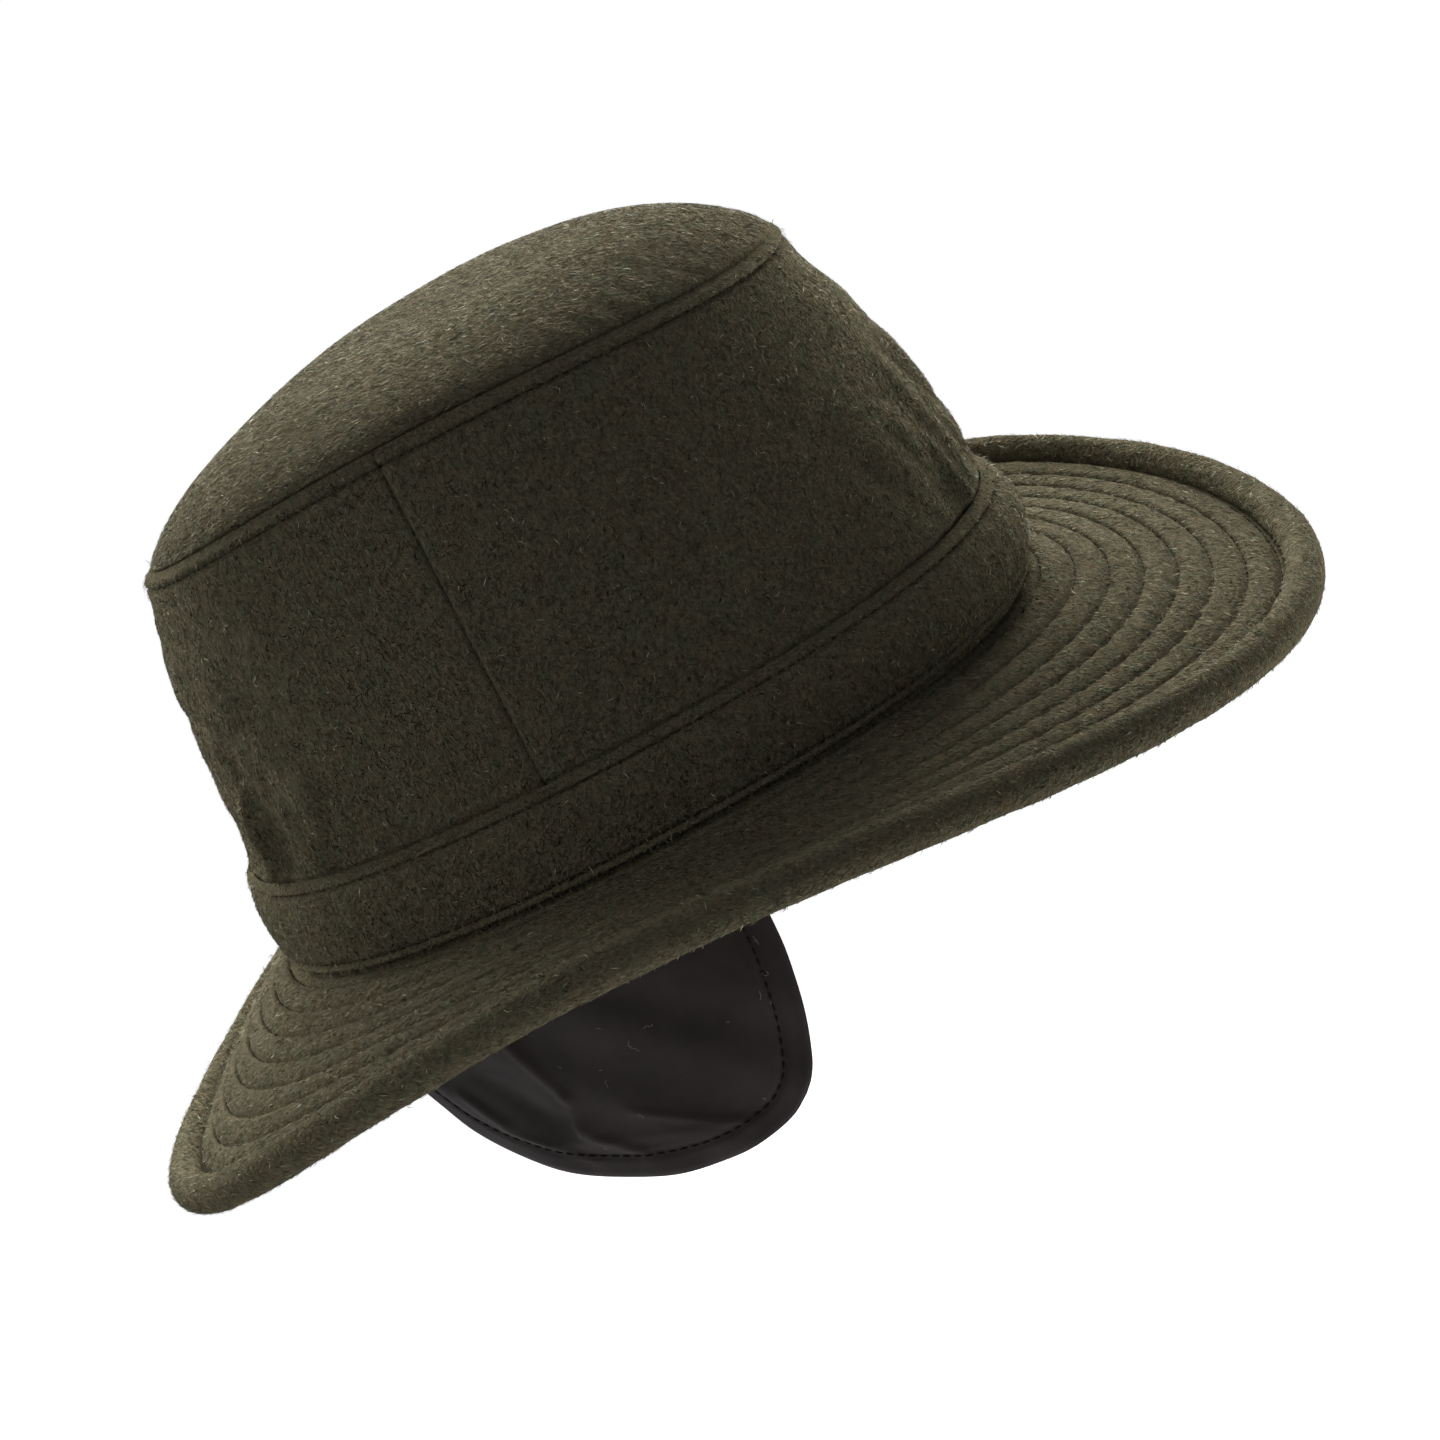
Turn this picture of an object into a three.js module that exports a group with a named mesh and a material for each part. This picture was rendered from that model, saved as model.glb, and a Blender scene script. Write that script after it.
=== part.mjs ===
// Winter hat: a brimmed hat cut and sewn from thick wool, with an ear and neck flap folded down.
// Millimetres. X runs to the front of the hat, Y to the wearer's left, Z up.
// The origin is the middle of the head opening, level with the band's lower seam at front and back.
import * as THREE from "three";

// Sizes
const SEAM_GAP = 0.3; // between two pieces that are sewn together
const SEAM_DIP = 0.9; // how far an edge turns in beside a seam
const WOOL_WALL = 2.5; // crown and band cloth
const HEAD_HALF_LENGTH = 105; // outside of the band at its lower seam
const HEAD_HALF_WIDTH = 86.9;
const BAND_SIDE_LIFT = 5; // the lower seam is higher over the ears
const BAND_TOP_HALF_LENGTH = 104.9;
const BAND_TOP_HALF_WIDTH = 82.9;
const BAND_TOP_SHIFT = 1.8;
const BAND_HEIGHT = 24.5;
const BAND_TOP_SIDE_LIFT = 4.4;
const BAND_BULGE_FRONT = 4.6;
const BAND_BULGE_SIDE = 1.8;
const BAND_TOP_TUCK = 0.8; // the band's upper edge is turned in, so it is thicker there
const CROWN_INSET = 1.0; // the crown's foot sits this far inside the band's upper edge
const SIDE_SEAM_BACK = 3.3; // degrees the crown's side seams lie behind the widest point
const TIP_HALF_LENGTH = 87.5;
const TIP_HALF_WIDTH = 71.1;
const TIP_SHIFT = 3.6;
const TIP_SEAM_HEIGHT = 102.2;
const TIP_SEAM_SIDE_LIFT = 11.3; // the tip's seam dips at front and back
const TIP_SEAM_SIDE_POWER = 2.4;
const TIP_DOME = 21.7;
const TIP_DOME_POWER = 3.2;
const TIP_DOME_FULL_ENDS = 0.9; // the dome is fuller towards the front and the back
const TIP_CORNER = 0.5; // radians from the front to the corner that sags
const TIP_CORNER_SAG = 2.2;
const BRIM_HALF_LENGTH = 164.3; // to the outside of the edge roll
const BRIM_HALF_WIDTH = 153.8;
const BRIM_SHIFT = 5;
const BRIM_FRONT_CORNERS = 1.2; // how much squarer than an oval the front of the brim is
const BRIM_WALL = 4;
const BRIM_ROWS = 8; // rows of quilting
const BRIM_FIRST_ROW = 0.035; // share of the way from the band to the roll
const BRIM_ROW_STEP = 0.13;
const ROW_DEPTH = 0.8;
const ROLL_RADIUS = 4.8;
const ROLL_ABOVE_BRIM = 1.0; // the brim's upper face meets the roll this far above the roll's middle
const FLAP_WALL = 2;
const FLAP_TOP = 3; // the flap's upper edge above the band's lower seam
const FLAP_EASE = 0.5; // room between the flap and the inside of the band
const FLAP_LEAN = 0.05; // the flap draws in towards the head by this share of its depth
const FLAP_STATIONS = 40;

// Height of the roll's middle as waves round the brim: front and back droop, the sides turn up.
const BRIM_WAVES = [
  // [turns, height]
  [0, -13.8],
  [1, 2.4],
  [2, -19.6],
  [3, -0.3],
  [4, 0.9],
];

// How far the brim's middle stands above a straight line from the band to the roll, as waves.
const BRIM_BOW = [
  // [turns, height]
  [1, -1.7],
  [2, 0.9],
];

// Folds of the crown wall: each is a ridge (or a dent, when its rise is below 0) that runs from
// one place on the wall to another. Angles are degrees from the front, heights are shares of the wall.
const CROWN_FOLDS = [
  // [angle1, height1, angle2, height2, rise, spread in degrees]
  [186, 0.95, 186, 0.5, 3.3, 26],
  [188, 0.17, 188, 0.08, -1.7, 20],
  [216, 0.62, 230, 0.27, 1.3, 5],
  [204, 0.44, 215, 0.22, 1.9, 4],
  [215, 0.22, 211, 0.0, 1.7, 4],
  [220, 0.33, 226, 0.12, 1.3, 3.5],
  [221, 0.46, 222, 0.3, -1.3, 4],
  [218.5, 0.16, 217.5, 0.06, -1.9, 3.5],
  [231, 0.26, 227.5, 0.0, 1.5, 4],
  [238, 0.34, 242, 0.06, 0.9, 5],
  [196, 0.5, 199, 0.05, 1.2, 5],
  [181, 0.42, 178, 0.03, 1.3, 5],
  [166, 0.46, 162, 0.04, 1.4, 5],
  [150, 0.52, 142, 0.06, 1.2, 5],
  [158, 0.4, 151, 0.1, -1.2, 5],
  [133, 0.4, 128, 0.05, 0.9, 5],
  [8, 0.5, 5, 0.04, 1.5, 4.5],
  [-1, 0.52, 3, 0.05, -1.1, 4],
  [-5.5, 0.48, -6.2, 0.0, 1.7, 4],
  [-12, 0.42, -10.5, 0.04, -1.1, 4],
  [-15, 0.34, -11, 0.0, 1.3, 3.5],
  [-15.5, 0.13, -16, 0.02, -1.6, 4],
  [-24, 0.4, -18, 0.1, 0.9, 5],
  [-25, 0.26, -26, 0.05, 0.8, 5],
  [18, 0.46, 14, 0.03, 1.3, 4.5],
  [28, 0.38, 23, 0.03, 1.1, 5],
  [12, 0.97, 12, 0.84, 1.2, 22],
  [14, 0.74, 14, 0.2, 3.0, 24],
];

// Fold lines of the flap, mirrored to both ears: angles are degrees from the back, heights in mm.
const FLAP_FOLDS = [
  // [angle1, height1, angle2, height2, rise, spread in mm]
  [59.5, -24, 65, -54, 1.5, 6],
  [43, -36, 58, -56, 1.4, 5],
  [58, -56, 88, -67, 0.8, 5],
  [52, -34, 61, -50, -1.1, 5],
];

// The flap's front edge: share of the way down, degrees from the back.
const FLAP_REACH = [
  [0, 105.3],
  [0.3, 105],
  [0.5, 104.4],
  [0.61, 103.6],
  [0.76, 102],
  [0.9, 99.3],
  [1, 96.4],
];

// The flap's hem: share of the way from the back to the front edge, height.
const FLAP_HEM = [
  [0, -33],
  [0.2, -33.5],
  [0.33, -34.5],
  [0.38, -40.5],
  [0.43, -49],
  [0.5, -56],
  [0.585, -63.5],
  [0.7, -70],
  [0.78, -73],
  [0.865, -73.6],
  [0.93, -72.4],
  [1, -66.5],
];

const RING_STATIONS = 64; // round the band, the brim, the roll and the tip

// Runs of stations of the crown panels: [from, to, steps], closer together where the folds are.
const FRONT_RUNS = [
  [-90 - SIDE_SEAM_BACK, -92, 1],
  [-92, -40, 9],
  [-40, 40, 30],
  [40, 92, 9],
  [92, 90 + SIDE_SEAM_BACK, 1],
];
const BACK_RUNS = [
  [90 + SIDE_SEAM_BACK, 94.6, 1],
  [94.6, 125, 5],
  [125, 250, 38],
  [250, 265.4, 3],
  [265.4, 270 - SIDE_SEAM_BACK, 1],
];
const PANEL_ROWS = [0, 0.02, 0.08, 0.15, 0.23, 0.32, 0.44, 0.6, 0.78, 0.93, 0.985, 1];
const PANEL_INNER_ROWS = [1, 0.5, 0.2, 0];

// Small helpers
const { lerp, smoothstep, degToRad, clamp } = THREE.MathUtils;

// Smooth curve through a table of [x, y].
function through(table, x) {
  const last = table.length - 1;
  let i = 0;
  while (i < last - 1 && x > table[i + 1][0]) i++;
  const [x0, y0] = table[i],
    [x1, y1] = table[i + 1];
  const before = table[Math.max(i - 1, 0)],
    after = table[Math.min(i + 2, last)];
  const slope0 = (y1 - before[1]) / (x1 - before[0] || 1),
    slope1 = (after[1] - y0) / (after[0] - x0 || 1);
  const s = clamp((x - x0) / (x1 - x0), 0, 1),
    d = x1 - x0,
    s2 = s * s,
    s3 = s2 * s;
  return (
    (2 * s3 - 3 * s2 + 1) * y0 +
    (s3 - 2 * s2 + s) * d * slope0 +
    (3 * s2 - 2 * s3) * y1 +
    (s3 - s2) * d * slope1
  );
}

// Sum of a fold table's ridges at (x, y). xScale turns x into the units of the spread.
function foldRise(folds, x, y, xScale, endSoft, turn) {
  let sum = 0;
  for (const [x1, y1, x2, y2, rise, spread] of folds) {
    const top = Math.max(y1, y2),
      low = Math.min(y1, y2);
    const along = clamp((y - y1) / (y2 - y1 || 1), 0, 1);
    let away = x - lerp(x1, x2, along);
    if (turn) away -= turn * Math.round(away / turn);
    const over = Math.max(y - top, low - y, 0) / endSoft;
    sum += rise * Math.exp(-(((away * xScale) / spread) ** 2) - over * over);
  }
  return sum;
}

function waves(table, t) {
  return table.reduce((sum, [turns, height]) => sum + height * Math.cos(turns * t), 0);
}

// Unit vector out of an oval, level with the ground.
function outward(t, halfLength = HEAD_HALF_LENGTH, halfWidth = HEAD_HALF_WIDTH) {
  return new THREE.Vector3(
    Math.cos(t) / halfLength,
    Math.sin(t) / halfWidth,
    0,
  ).normalize();
}

// Lines of the hat, by angle from the front
function bandFoot(t) {
  return new THREE.Vector3(
    HEAD_HALF_LENGTH * Math.cos(t),
    HEAD_HALF_WIDTH * Math.sin(t),
    BAND_SIDE_LIFT * Math.sin(t) ** 2,
  );
}

function bandHead(t) {
  return new THREE.Vector3(
    BAND_TOP_SHIFT + BAND_TOP_HALF_LENGTH * Math.cos(t),
    BAND_TOP_HALF_WIDTH * Math.sin(t),
    BAND_HEIGHT + BAND_TOP_SIDE_LIFT * Math.sin(t) ** 2,
  );
}

// A point of the tip by angle and share of the way out from its middle.
function tipSurface(t, share) {
  const side = Math.sin(t) ** 2;
  // the seam's front corner on the far side sags a little
  const fromCorner = Math.atan2(Math.sin(t - TIP_CORNER), Math.cos(t - TIP_CORNER));
  const sag = TIP_CORNER_SAG * Math.exp(-((fromCorner / 0.45) ** 2)) * share ** 6;
  return new THREE.Vector3(
    TIP_SHIFT + TIP_HALF_LENGTH * share * Math.cos(t),
    TIP_HALF_WIDTH * share * Math.sin(t),
    TIP_SEAM_HEIGHT +
      TIP_SEAM_SIDE_LIFT * side * share ** TIP_SEAM_SIDE_POWER +
      TIP_DOME * (1 - share ** (TIP_DOME_POWER + TIP_DOME_FULL_ENDS * (1 - side))) -
      sag,
  );
}

function rollMiddle(t) {
  const corner = Math.cos(t) > 0 ? BRIM_FRONT_CORNERS * Math.sin(2 * t) ** 2 : 0;
  return new THREE.Vector3(
    BRIM_SHIFT + (BRIM_HALF_LENGTH - ROLL_RADIUS) * Math.cos(t),
    (BRIM_HALF_WIDTH - ROLL_RADIUS) * Math.sin(t),
    waves(BRIM_WAVES, t),
  ).addScaledVector(outward(t, BRIM_HALF_LENGTH, BRIM_HALF_WIDTH), corner);
}

// Solids
// A surface from rows of points, one row per station. It is closed round the stations, or capped at
// both ends, where the first `outerCount` points of a row are its outside from foot to head.
function solidFrom(rows, { ring, openProfile = false, outerCount = 0 }) {
  const stations = rows.length,
    count = rows[0].length;
  const points = rows.flat();
  const faces = [];
  const at = (i, j) => (i % stations) * count + (j % count);
  const steps = ring ? stations : stations - 1,
    spans = openProfile ? count - 1 : count;
  for (let i = 0; i < steps; i++)
    for (let j = 0; j < spans; j++) {
      const a = at(i, j),
        b = at(i + 1, j),
        c = at(i + 1, j + 1),
        d = at(i, j + 1);
      faces.push([a, b, c], [a, c, d]);
    }
  if (!ring)
    for (const i of [0, stations - 1]) {
      // zip the outer and the inner points of the end together
      let o = 0,
        n = count - 1;
      const innerCount = count - outerCount;
      while (o < outerCount - 1 || n > outerCount) {
        const nextOuter = (o + 1) / (outerCount - 1),
          nextInner = (count - n) / (innerCount - 1);
        let face;
        if (n <= outerCount || (o < outerCount - 1 && nextOuter <= nextInner)) {
          face = [at(i, o), at(i, o + 1), at(i, n)];
          o++;
        } else {
          face = [at(i, o), at(i, n - 1), at(i, n)];
          n--;
        }
        faces.push(i === 0 ? face : face.reverse());
      }
    }
  // points that fall on one place become one, and faces that collapse are dropped
  const key = (p) => [p.x, p.y, p.z].map((v) => Math.round(v * 1e3)).join();
  const index = new Map(),
    unique = [];
  const id = points.map((p) => {
    const k = key(p);
    if (!index.has(k)) {
      index.set(k, unique.length);
      unique.push(p);
    }
    return index.get(k);
  });
  let kept = faces
    .map((f) => f.map((v) => id[v]))
    .filter(([a, b, c]) => a !== b && b !== c && a !== c);
  const volume = kept.reduce(
    (sum, [a, b, c]) => sum + unique[a].dot(unique[b].clone().cross(unique[c])),
    0,
  );
  if (volume < 0) kept = kept.map(([a, b, c]) => [a, c, b]);
  const geometry = new THREE.BufferGeometry();
  geometry.setAttribute(
    "position",
    new THREE.Float32BufferAttribute(
      unique.flatMap((p) => [p.x, p.y, p.z]),
      3,
    ),
  );
  geometry.setIndex(kept.flat());
  geometry.computeVertexNormals();
  return geometry;
}

function ringAngles(stations) {
  return Array.from({ length: stations }, (_, i) => (i * 2 * Math.PI) / stations);
}

function runAngles(runs) {
  const list = [degToRad(runs[0][0])];
  for (const [from, to, steps] of runs)
    for (let k = 1; k <= steps; k++) list.push(degToRad(lerp(from, to, k / steps)));
  return list;
}

// Pieces
// Crown wall: a strip from the band to the tip's seam, with folds that fan out of the band.
function crownWall(t, h, depth) {
  const out = outward(t);
  const foot = bandHead(t).addScaledVector(out, -CROWN_INSET);
  foot.z += SEAM_GAP;
  const head = tipSurface(t, 1);
  head.z -= SEAM_GAP;
  const edge = h < 0.01 || h > 0.99 ? SEAM_DIP : 0;
  const rise =
    foldRise(CROWN_FOLDS, (t * 180) / Math.PI, h, 1, 0.07, 360) * smoothstep(1 - h, 0.0, 0.05);
  return foot.lerp(head, h).addScaledVector(out, rise - edge - depth);
}

function crownPanel(runs) {
  const angles = runAngles(runs);
  // the two end stations stop short of the side seams and turn in
  const halfGap = SEAM_GAP / 2 / BAND_TOP_HALF_LENGTH;
  const rows = angles.map((t, i) => {
    const first = i === 0,
      last = i === angles.length - 1;
    const at = first ? t + halfGap : last ? t - halfGap : t;
    const dip = first || last ? SEAM_DIP * 0.7 : 0;
    return [
      ...PANEL_ROWS.map((h) => crownWall(at, h, dip)),
      ...PANEL_INNER_ROWS.map((h) => {
        // the inner edges take no dip and lie level with the outer ones
        const p = crownWall(at, clamp(h, 0.015, 0.985), WOOL_WALL);
        if (h === 0 || h === 1) p.z = crownWall(at, h, 0).z;
        return p;
      }),
    ];
  });
  return solidFrom(rows, { ring: false, outerCount: PANEL_ROWS.length });
}

// Tip: a domed oval whose rim rests on the crown wall.
function crownTip() {
  const outer = [0, 0.2, 0.42, 0.62, 0.76, 0.86, 0.93, 0.985, 1];
  const inner = [1, 0.93, 0.8, 0.6, 0.3, 0];
  const rows = ringAngles(RING_STATIONS).map((t) => {
    const out = outward(t, TIP_HALF_LENGTH, TIP_HALF_WIDTH);
    return [
      ...outer.map((share) =>
        tipSurface(t, share).addScaledVector(out, share === 1 ? -SEAM_DIP : 0),
      ),
      ...inner.map((share) => {
        const p = tipSurface(t, share);
        if (share === 1) return p.addScaledVector(out, -WOOL_WALL);
        if (share === 0) return p.setZ(p.z - WOOL_WALL);
        const round = tipSurface(t + 0.01, share).sub(tipSurface(t - 0.01, share));
        const away = tipSurface(t, share + 0.01).sub(tipSurface(t, share - 0.01));
        return p.addScaledVector(away.cross(round).normalize(), -WOOL_WALL);
      }),
    ];
  });
  return solidFrom(rows, { ring: true, openProfile: true });
}

// Band: a padded strip with a soft shoulder that stands out most at the front.
function bandBulge(t, v) {
  const front = smoothstep(Math.cos(t), 0.35, 0.95);
  return lerp(BAND_BULGE_SIDE, BAND_BULGE_FRONT, front) * Math.sin(Math.PI * v ** 1.25) ** 0.85;
}

function bandWall(t, v, out) {
  return bandFoot(t).lerp(bandHead(t), v).addScaledVector(outward(t), out);
}

function band() {
  const outer = [0, 0.12, 0.35, 0.6, 0.8, 0.93, 1];
  const inner = [1, 0.5, 0];
  const rows = ringAngles(RING_STATIONS).map((t) => [
    ...outer.map((v) => bandWall(t, v, v === 0 || v === 1 ? -SEAM_DIP : bandBulge(t, v))),
    ...inner.map((v) => bandWall(t, v, v === 1 ? -WOOL_WALL - BAND_TOP_TUCK : -WOOL_WALL)),
  ]);
  return solidFrom(rows, { ring: true });
}

// Brim: two layers quilted together in rows, from under the band to the edge roll.
function brimTop(t, w) {
  const start = bandFoot(t);
  start.z -= SEAM_GAP;
  const end = rollMiddle(t).addScaledVector(
    outward(t, BRIM_HALF_LENGTH, BRIM_HALF_WIDTH),
    -(ROLL_RADIUS + SEAM_GAP),
  );
  end.z += ROLL_ABOVE_BRIM;
  const p = start.lerp(end, w);
  p.z += waves(BRIM_BOW, t) * 4 * w * (1 - w);
  return p;
}

function brim() {
  const shares = [0];
  for (let k = 0; k < BRIM_ROWS; k++) {
    const row = BRIM_FIRST_ROW + k * BRIM_ROW_STEP;
    shares.push(row, Math.min(row + BRIM_ROW_STEP / 2, 1));
  }
  shares[shares.length - 1] = 1;
  const rows = ringAngles(RING_STATIONS).map((t) => {
    const out = outward(t);
    const under = brimTop(t, 0).addScaledVector(out, -WOOL_WALL);
    // every second point lies in a stitched row
    const top = shares.map((w, k) => {
      const p = brimTop(t, w);
      if (k % 2 === 1) p.z -= ROW_DEPTH;
      return p;
    });
    const drop = (p) => p.clone().setZ(p.z - BRIM_WALL);
    // the outer edge is hollowed to fit round the roll
    const edge = (away, height) =>
      rollMiddle(t)
        .addScaledVector(outward(t, BRIM_HALF_LENGTH, BRIM_HALF_WIDTH), -away)
        .add(new THREE.Vector3(0, 0, height));
    return [
      under,
      ...top,
      edge(ROLL_RADIUS + SEAM_GAP, -1),
      edge(ROLL_RADIUS * 0.87, ROLL_ABOVE_BRIM - BRIM_WALL),
      drop(brimTop(t, 0.66)),
      drop(brimTop(t, 0.33)),
      drop(under),
    ];
  });
  return solidFrom(rows, { ring: true });
}

// Edge roll: the brim's cloth wrapped round a soft cord.
function edgeRoll() {
  const sides = 10;
  const rows = ringAngles(RING_STATIONS).map((t) => {
    const along = rollMiddle(t + 0.01)
      .sub(rollMiddle(t - 0.01))
      .normalize();
    const out = outward(t, BRIM_HALF_LENGTH, BRIM_HALF_WIDTH);
    const over = out.clone().cross(along).normalize();
    return Array.from({ length: sides }, (_, k) => {
      const a = ((k + 0.5) * 2 * Math.PI) / sides;
      return rollMiddle(t)
        .addScaledVector(out, ROLL_RADIUS * Math.cos(a))
        .addScaledVector(over, ROLL_RADIUS * Math.sin(a));
    });
  });
  return solidFrom(rows, { ring: true });
}

// Ear and neck flap: one piece of cloth that hangs from inside the band, from ear to ear round the back.
function flapPoint(u, v, depth) {
  const side = Math.sign(u) || 1,
    share = Math.abs(u);
  const fromBack = share * through(FLAP_REACH, v);
  const t = Math.PI + side * degToRad(fromBack);
  const z = lerp(bandFoot(t).z + FLAP_TOP, through(FLAP_HEM, share), v);
  const middle = HEAD_HALF_LENGTH - WOOL_WALL - SEAM_GAP - FLAP_EASE - FLAP_WALL / 2;
  const lean = FLAP_LEAN * Math.min(z, 0);
  const p = new THREE.Vector3(
    (middle + lean) * Math.cos(t),
    (middle - HEAD_HALF_LENGTH + HEAD_HALF_WIDTH + lean) * Math.sin(t),
    z,
  );
  const rise = z > -12 ? 0 : foldRise(FLAP_FOLDS, fromBack, z, 1.5, 6, 0);
  return p.addScaledVector(outward(t), rise + FLAP_WALL / 2 - depth);
}

function flap() {
  const downs = [0, 0.15, 0.3, 0.42, 0.54, 0.66, 0.78, 0.9, 1];
  const rows = [];
  for (let k = -FLAP_STATIONS / 2; k <= FLAP_STATIONS / 2; k++) {
    const u = k / (FLAP_STATIONS / 2);
    rows.push([
      ...downs.map((v) => flapPoint(u, v, 0)),
      ...[...downs].reverse().map((v) => flapPoint(u, v, FLAP_WALL)),
    ]);
  }
  return solidFrom(rows, { ring: false, outerCount: downs.length });
}

// The hat
const WOOL = { color: 0x6a6350, roughness: 0.95, metalness: 0 };
const FLAP_CLOTH = { color: 0x2b2627, roughness: 0.9, metalness: 0 };

const hat = new THREE.Group();
const pieces = [
  ["crown_tip", crownTip(), WOOL],
  ["crown_front_panel", crownPanel(FRONT_RUNS), WOOL],
  ["crown_back_panel", crownPanel(BACK_RUNS), WOOL],
  ["hat_band", band(), WOOL],
  ["brim", brim(), WOOL],
  ["brim_edge_roll", edgeRoll(), WOOL],
  ["ear_neck_flap", flap(), FLAP_CLOTH],
];
for (const [name, geometry, look] of pieces) {
  const mesh = new THREE.Mesh(geometry, new THREE.MeshStandardMaterial(look));
  mesh.name = name;
  hat.add(mesh);
}

export default hat;
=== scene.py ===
"""Looks of a brimmed winter hat, cut and sewn from wool melton, with an ear and neck flap.

X runs to the front of the hat, Y to the wearer's left, Z up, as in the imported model.
The forms below are worked out in millimetres and go into the meshes in metres.
"""

import math

import bpy
import numpy as np
from bpy.props import FloatProperty, FloatVectorProperty, IntProperty, PointerProperty
from mathutils import Matrix, Vector


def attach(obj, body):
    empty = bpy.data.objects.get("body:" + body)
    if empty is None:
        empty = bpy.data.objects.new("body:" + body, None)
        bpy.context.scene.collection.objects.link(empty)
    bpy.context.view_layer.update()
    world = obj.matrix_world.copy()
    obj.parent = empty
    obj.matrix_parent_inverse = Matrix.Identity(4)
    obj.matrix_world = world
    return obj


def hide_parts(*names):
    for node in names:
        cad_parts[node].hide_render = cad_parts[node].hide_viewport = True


bl_info = {
    "name": "Winter hat",
    "version": (1, 0, 0),
    "blender": (4, 5, 0),
    "location": "3D View > Sidebar > Winter hat",
    "description": "Dresses the packed winter hat in wool, stitches and nap",
    "category": "Object",
}

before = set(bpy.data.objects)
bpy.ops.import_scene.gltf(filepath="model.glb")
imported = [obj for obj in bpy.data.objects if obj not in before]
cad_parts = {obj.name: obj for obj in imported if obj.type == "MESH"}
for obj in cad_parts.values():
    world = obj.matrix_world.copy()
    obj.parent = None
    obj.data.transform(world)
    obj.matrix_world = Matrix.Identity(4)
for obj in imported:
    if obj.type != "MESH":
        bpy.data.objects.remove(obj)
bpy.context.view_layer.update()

MM = 0.001
TURN = 2 * math.pi

# Form of the hat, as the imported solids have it
SEAM_GAP = 0.3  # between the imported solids
SEAM_OVERLAP = 1.0  # how far a cloth edge runs on behind its neighbour, out of sight
TIP_OVERLAP = 0.3
HEAD_HALF_LENGTH, HEAD_HALF_WIDTH = 105.0, 86.9
BAND_SIDE_LIFT = 5.0
BAND_TOP_HALF_LENGTH, BAND_TOP_HALF_WIDTH, BAND_TOP_SHIFT = 104.9, 82.9, 1.8
BAND_HEIGHT, BAND_TOP_SIDE_LIFT = 24.5, 4.4
BAND_BULGE_FRONT, BAND_BULGE_SIDE = 4.6, 1.8
BAND_BULGE_LIFT, BAND_BULGE_FULL = 1.25, 0.85  # powers
CROWN_INSET = 1.0
SIDE_SEAM_BACK = 3.3
TIP_HALF_LENGTH, TIP_HALF_WIDTH, TIP_SHIFT = 87.5, 71.1, 3.6
TIP_SEAM_HEIGHT, TIP_SEAM_SIDE_LIFT, TIP_SEAM_SIDE_POWER = 102.2, 11.3, 2.4
TIP_DOME, TIP_DOME_POWER, TIP_DOME_FULL_ENDS = 21.7, 3.2, 0.9
TIP_CORNER, TIP_CORNER_SPREAD, TIP_CORNER_SAG = 0.5, 0.45, 2.2  # radians and mm
BRIM_HALF_LENGTH, BRIM_HALF_WIDTH, BRIM_SHIFT = 164.3, 153.8, 5.0
BRIM_FRONT_CORNERS = 2.6
BRIM_WALL = 4.0
BRIM_FIRST_ROW, BRIM_ROW_STEP, BRIM_STEPS = 0.035, 0.13, 7  # shares, and steps from first to last
ROLL_RADIUS, ROLL_ABOVE_BRIM = 4.8, 1.0
ROLL_REACHED = 2.0  # how far the brim's cloth runs into the roll
ROLL_SLIMMER = 0.5  # at its dip the roll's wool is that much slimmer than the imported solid
ROLL_DIP_ANGLE, ROLL_DIP_SPREAD, ROLL_DIP = 65, 26, 0.9  # degrees, and how far it hangs lower there
ROLL_SLIMMER_SPREAD = 45  # degrees
FLAP_TOP, FLAP_EASE, FLAP_LEAN = 3.0, 0.5, 0.05
BAND_WALL, FLAP_HALF_WALL = 2.5, 1.0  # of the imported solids

# Height of the roll's middle as waves round the brim, and the bow of the brim inside it
BRIM_WAVES = ((0, -13.8), (1, 2.4), (2, -19.6), (3, -0.3), (4, 0.9))
BRIM_BOW = ((1, -1.7), (2, 0.9))

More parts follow.
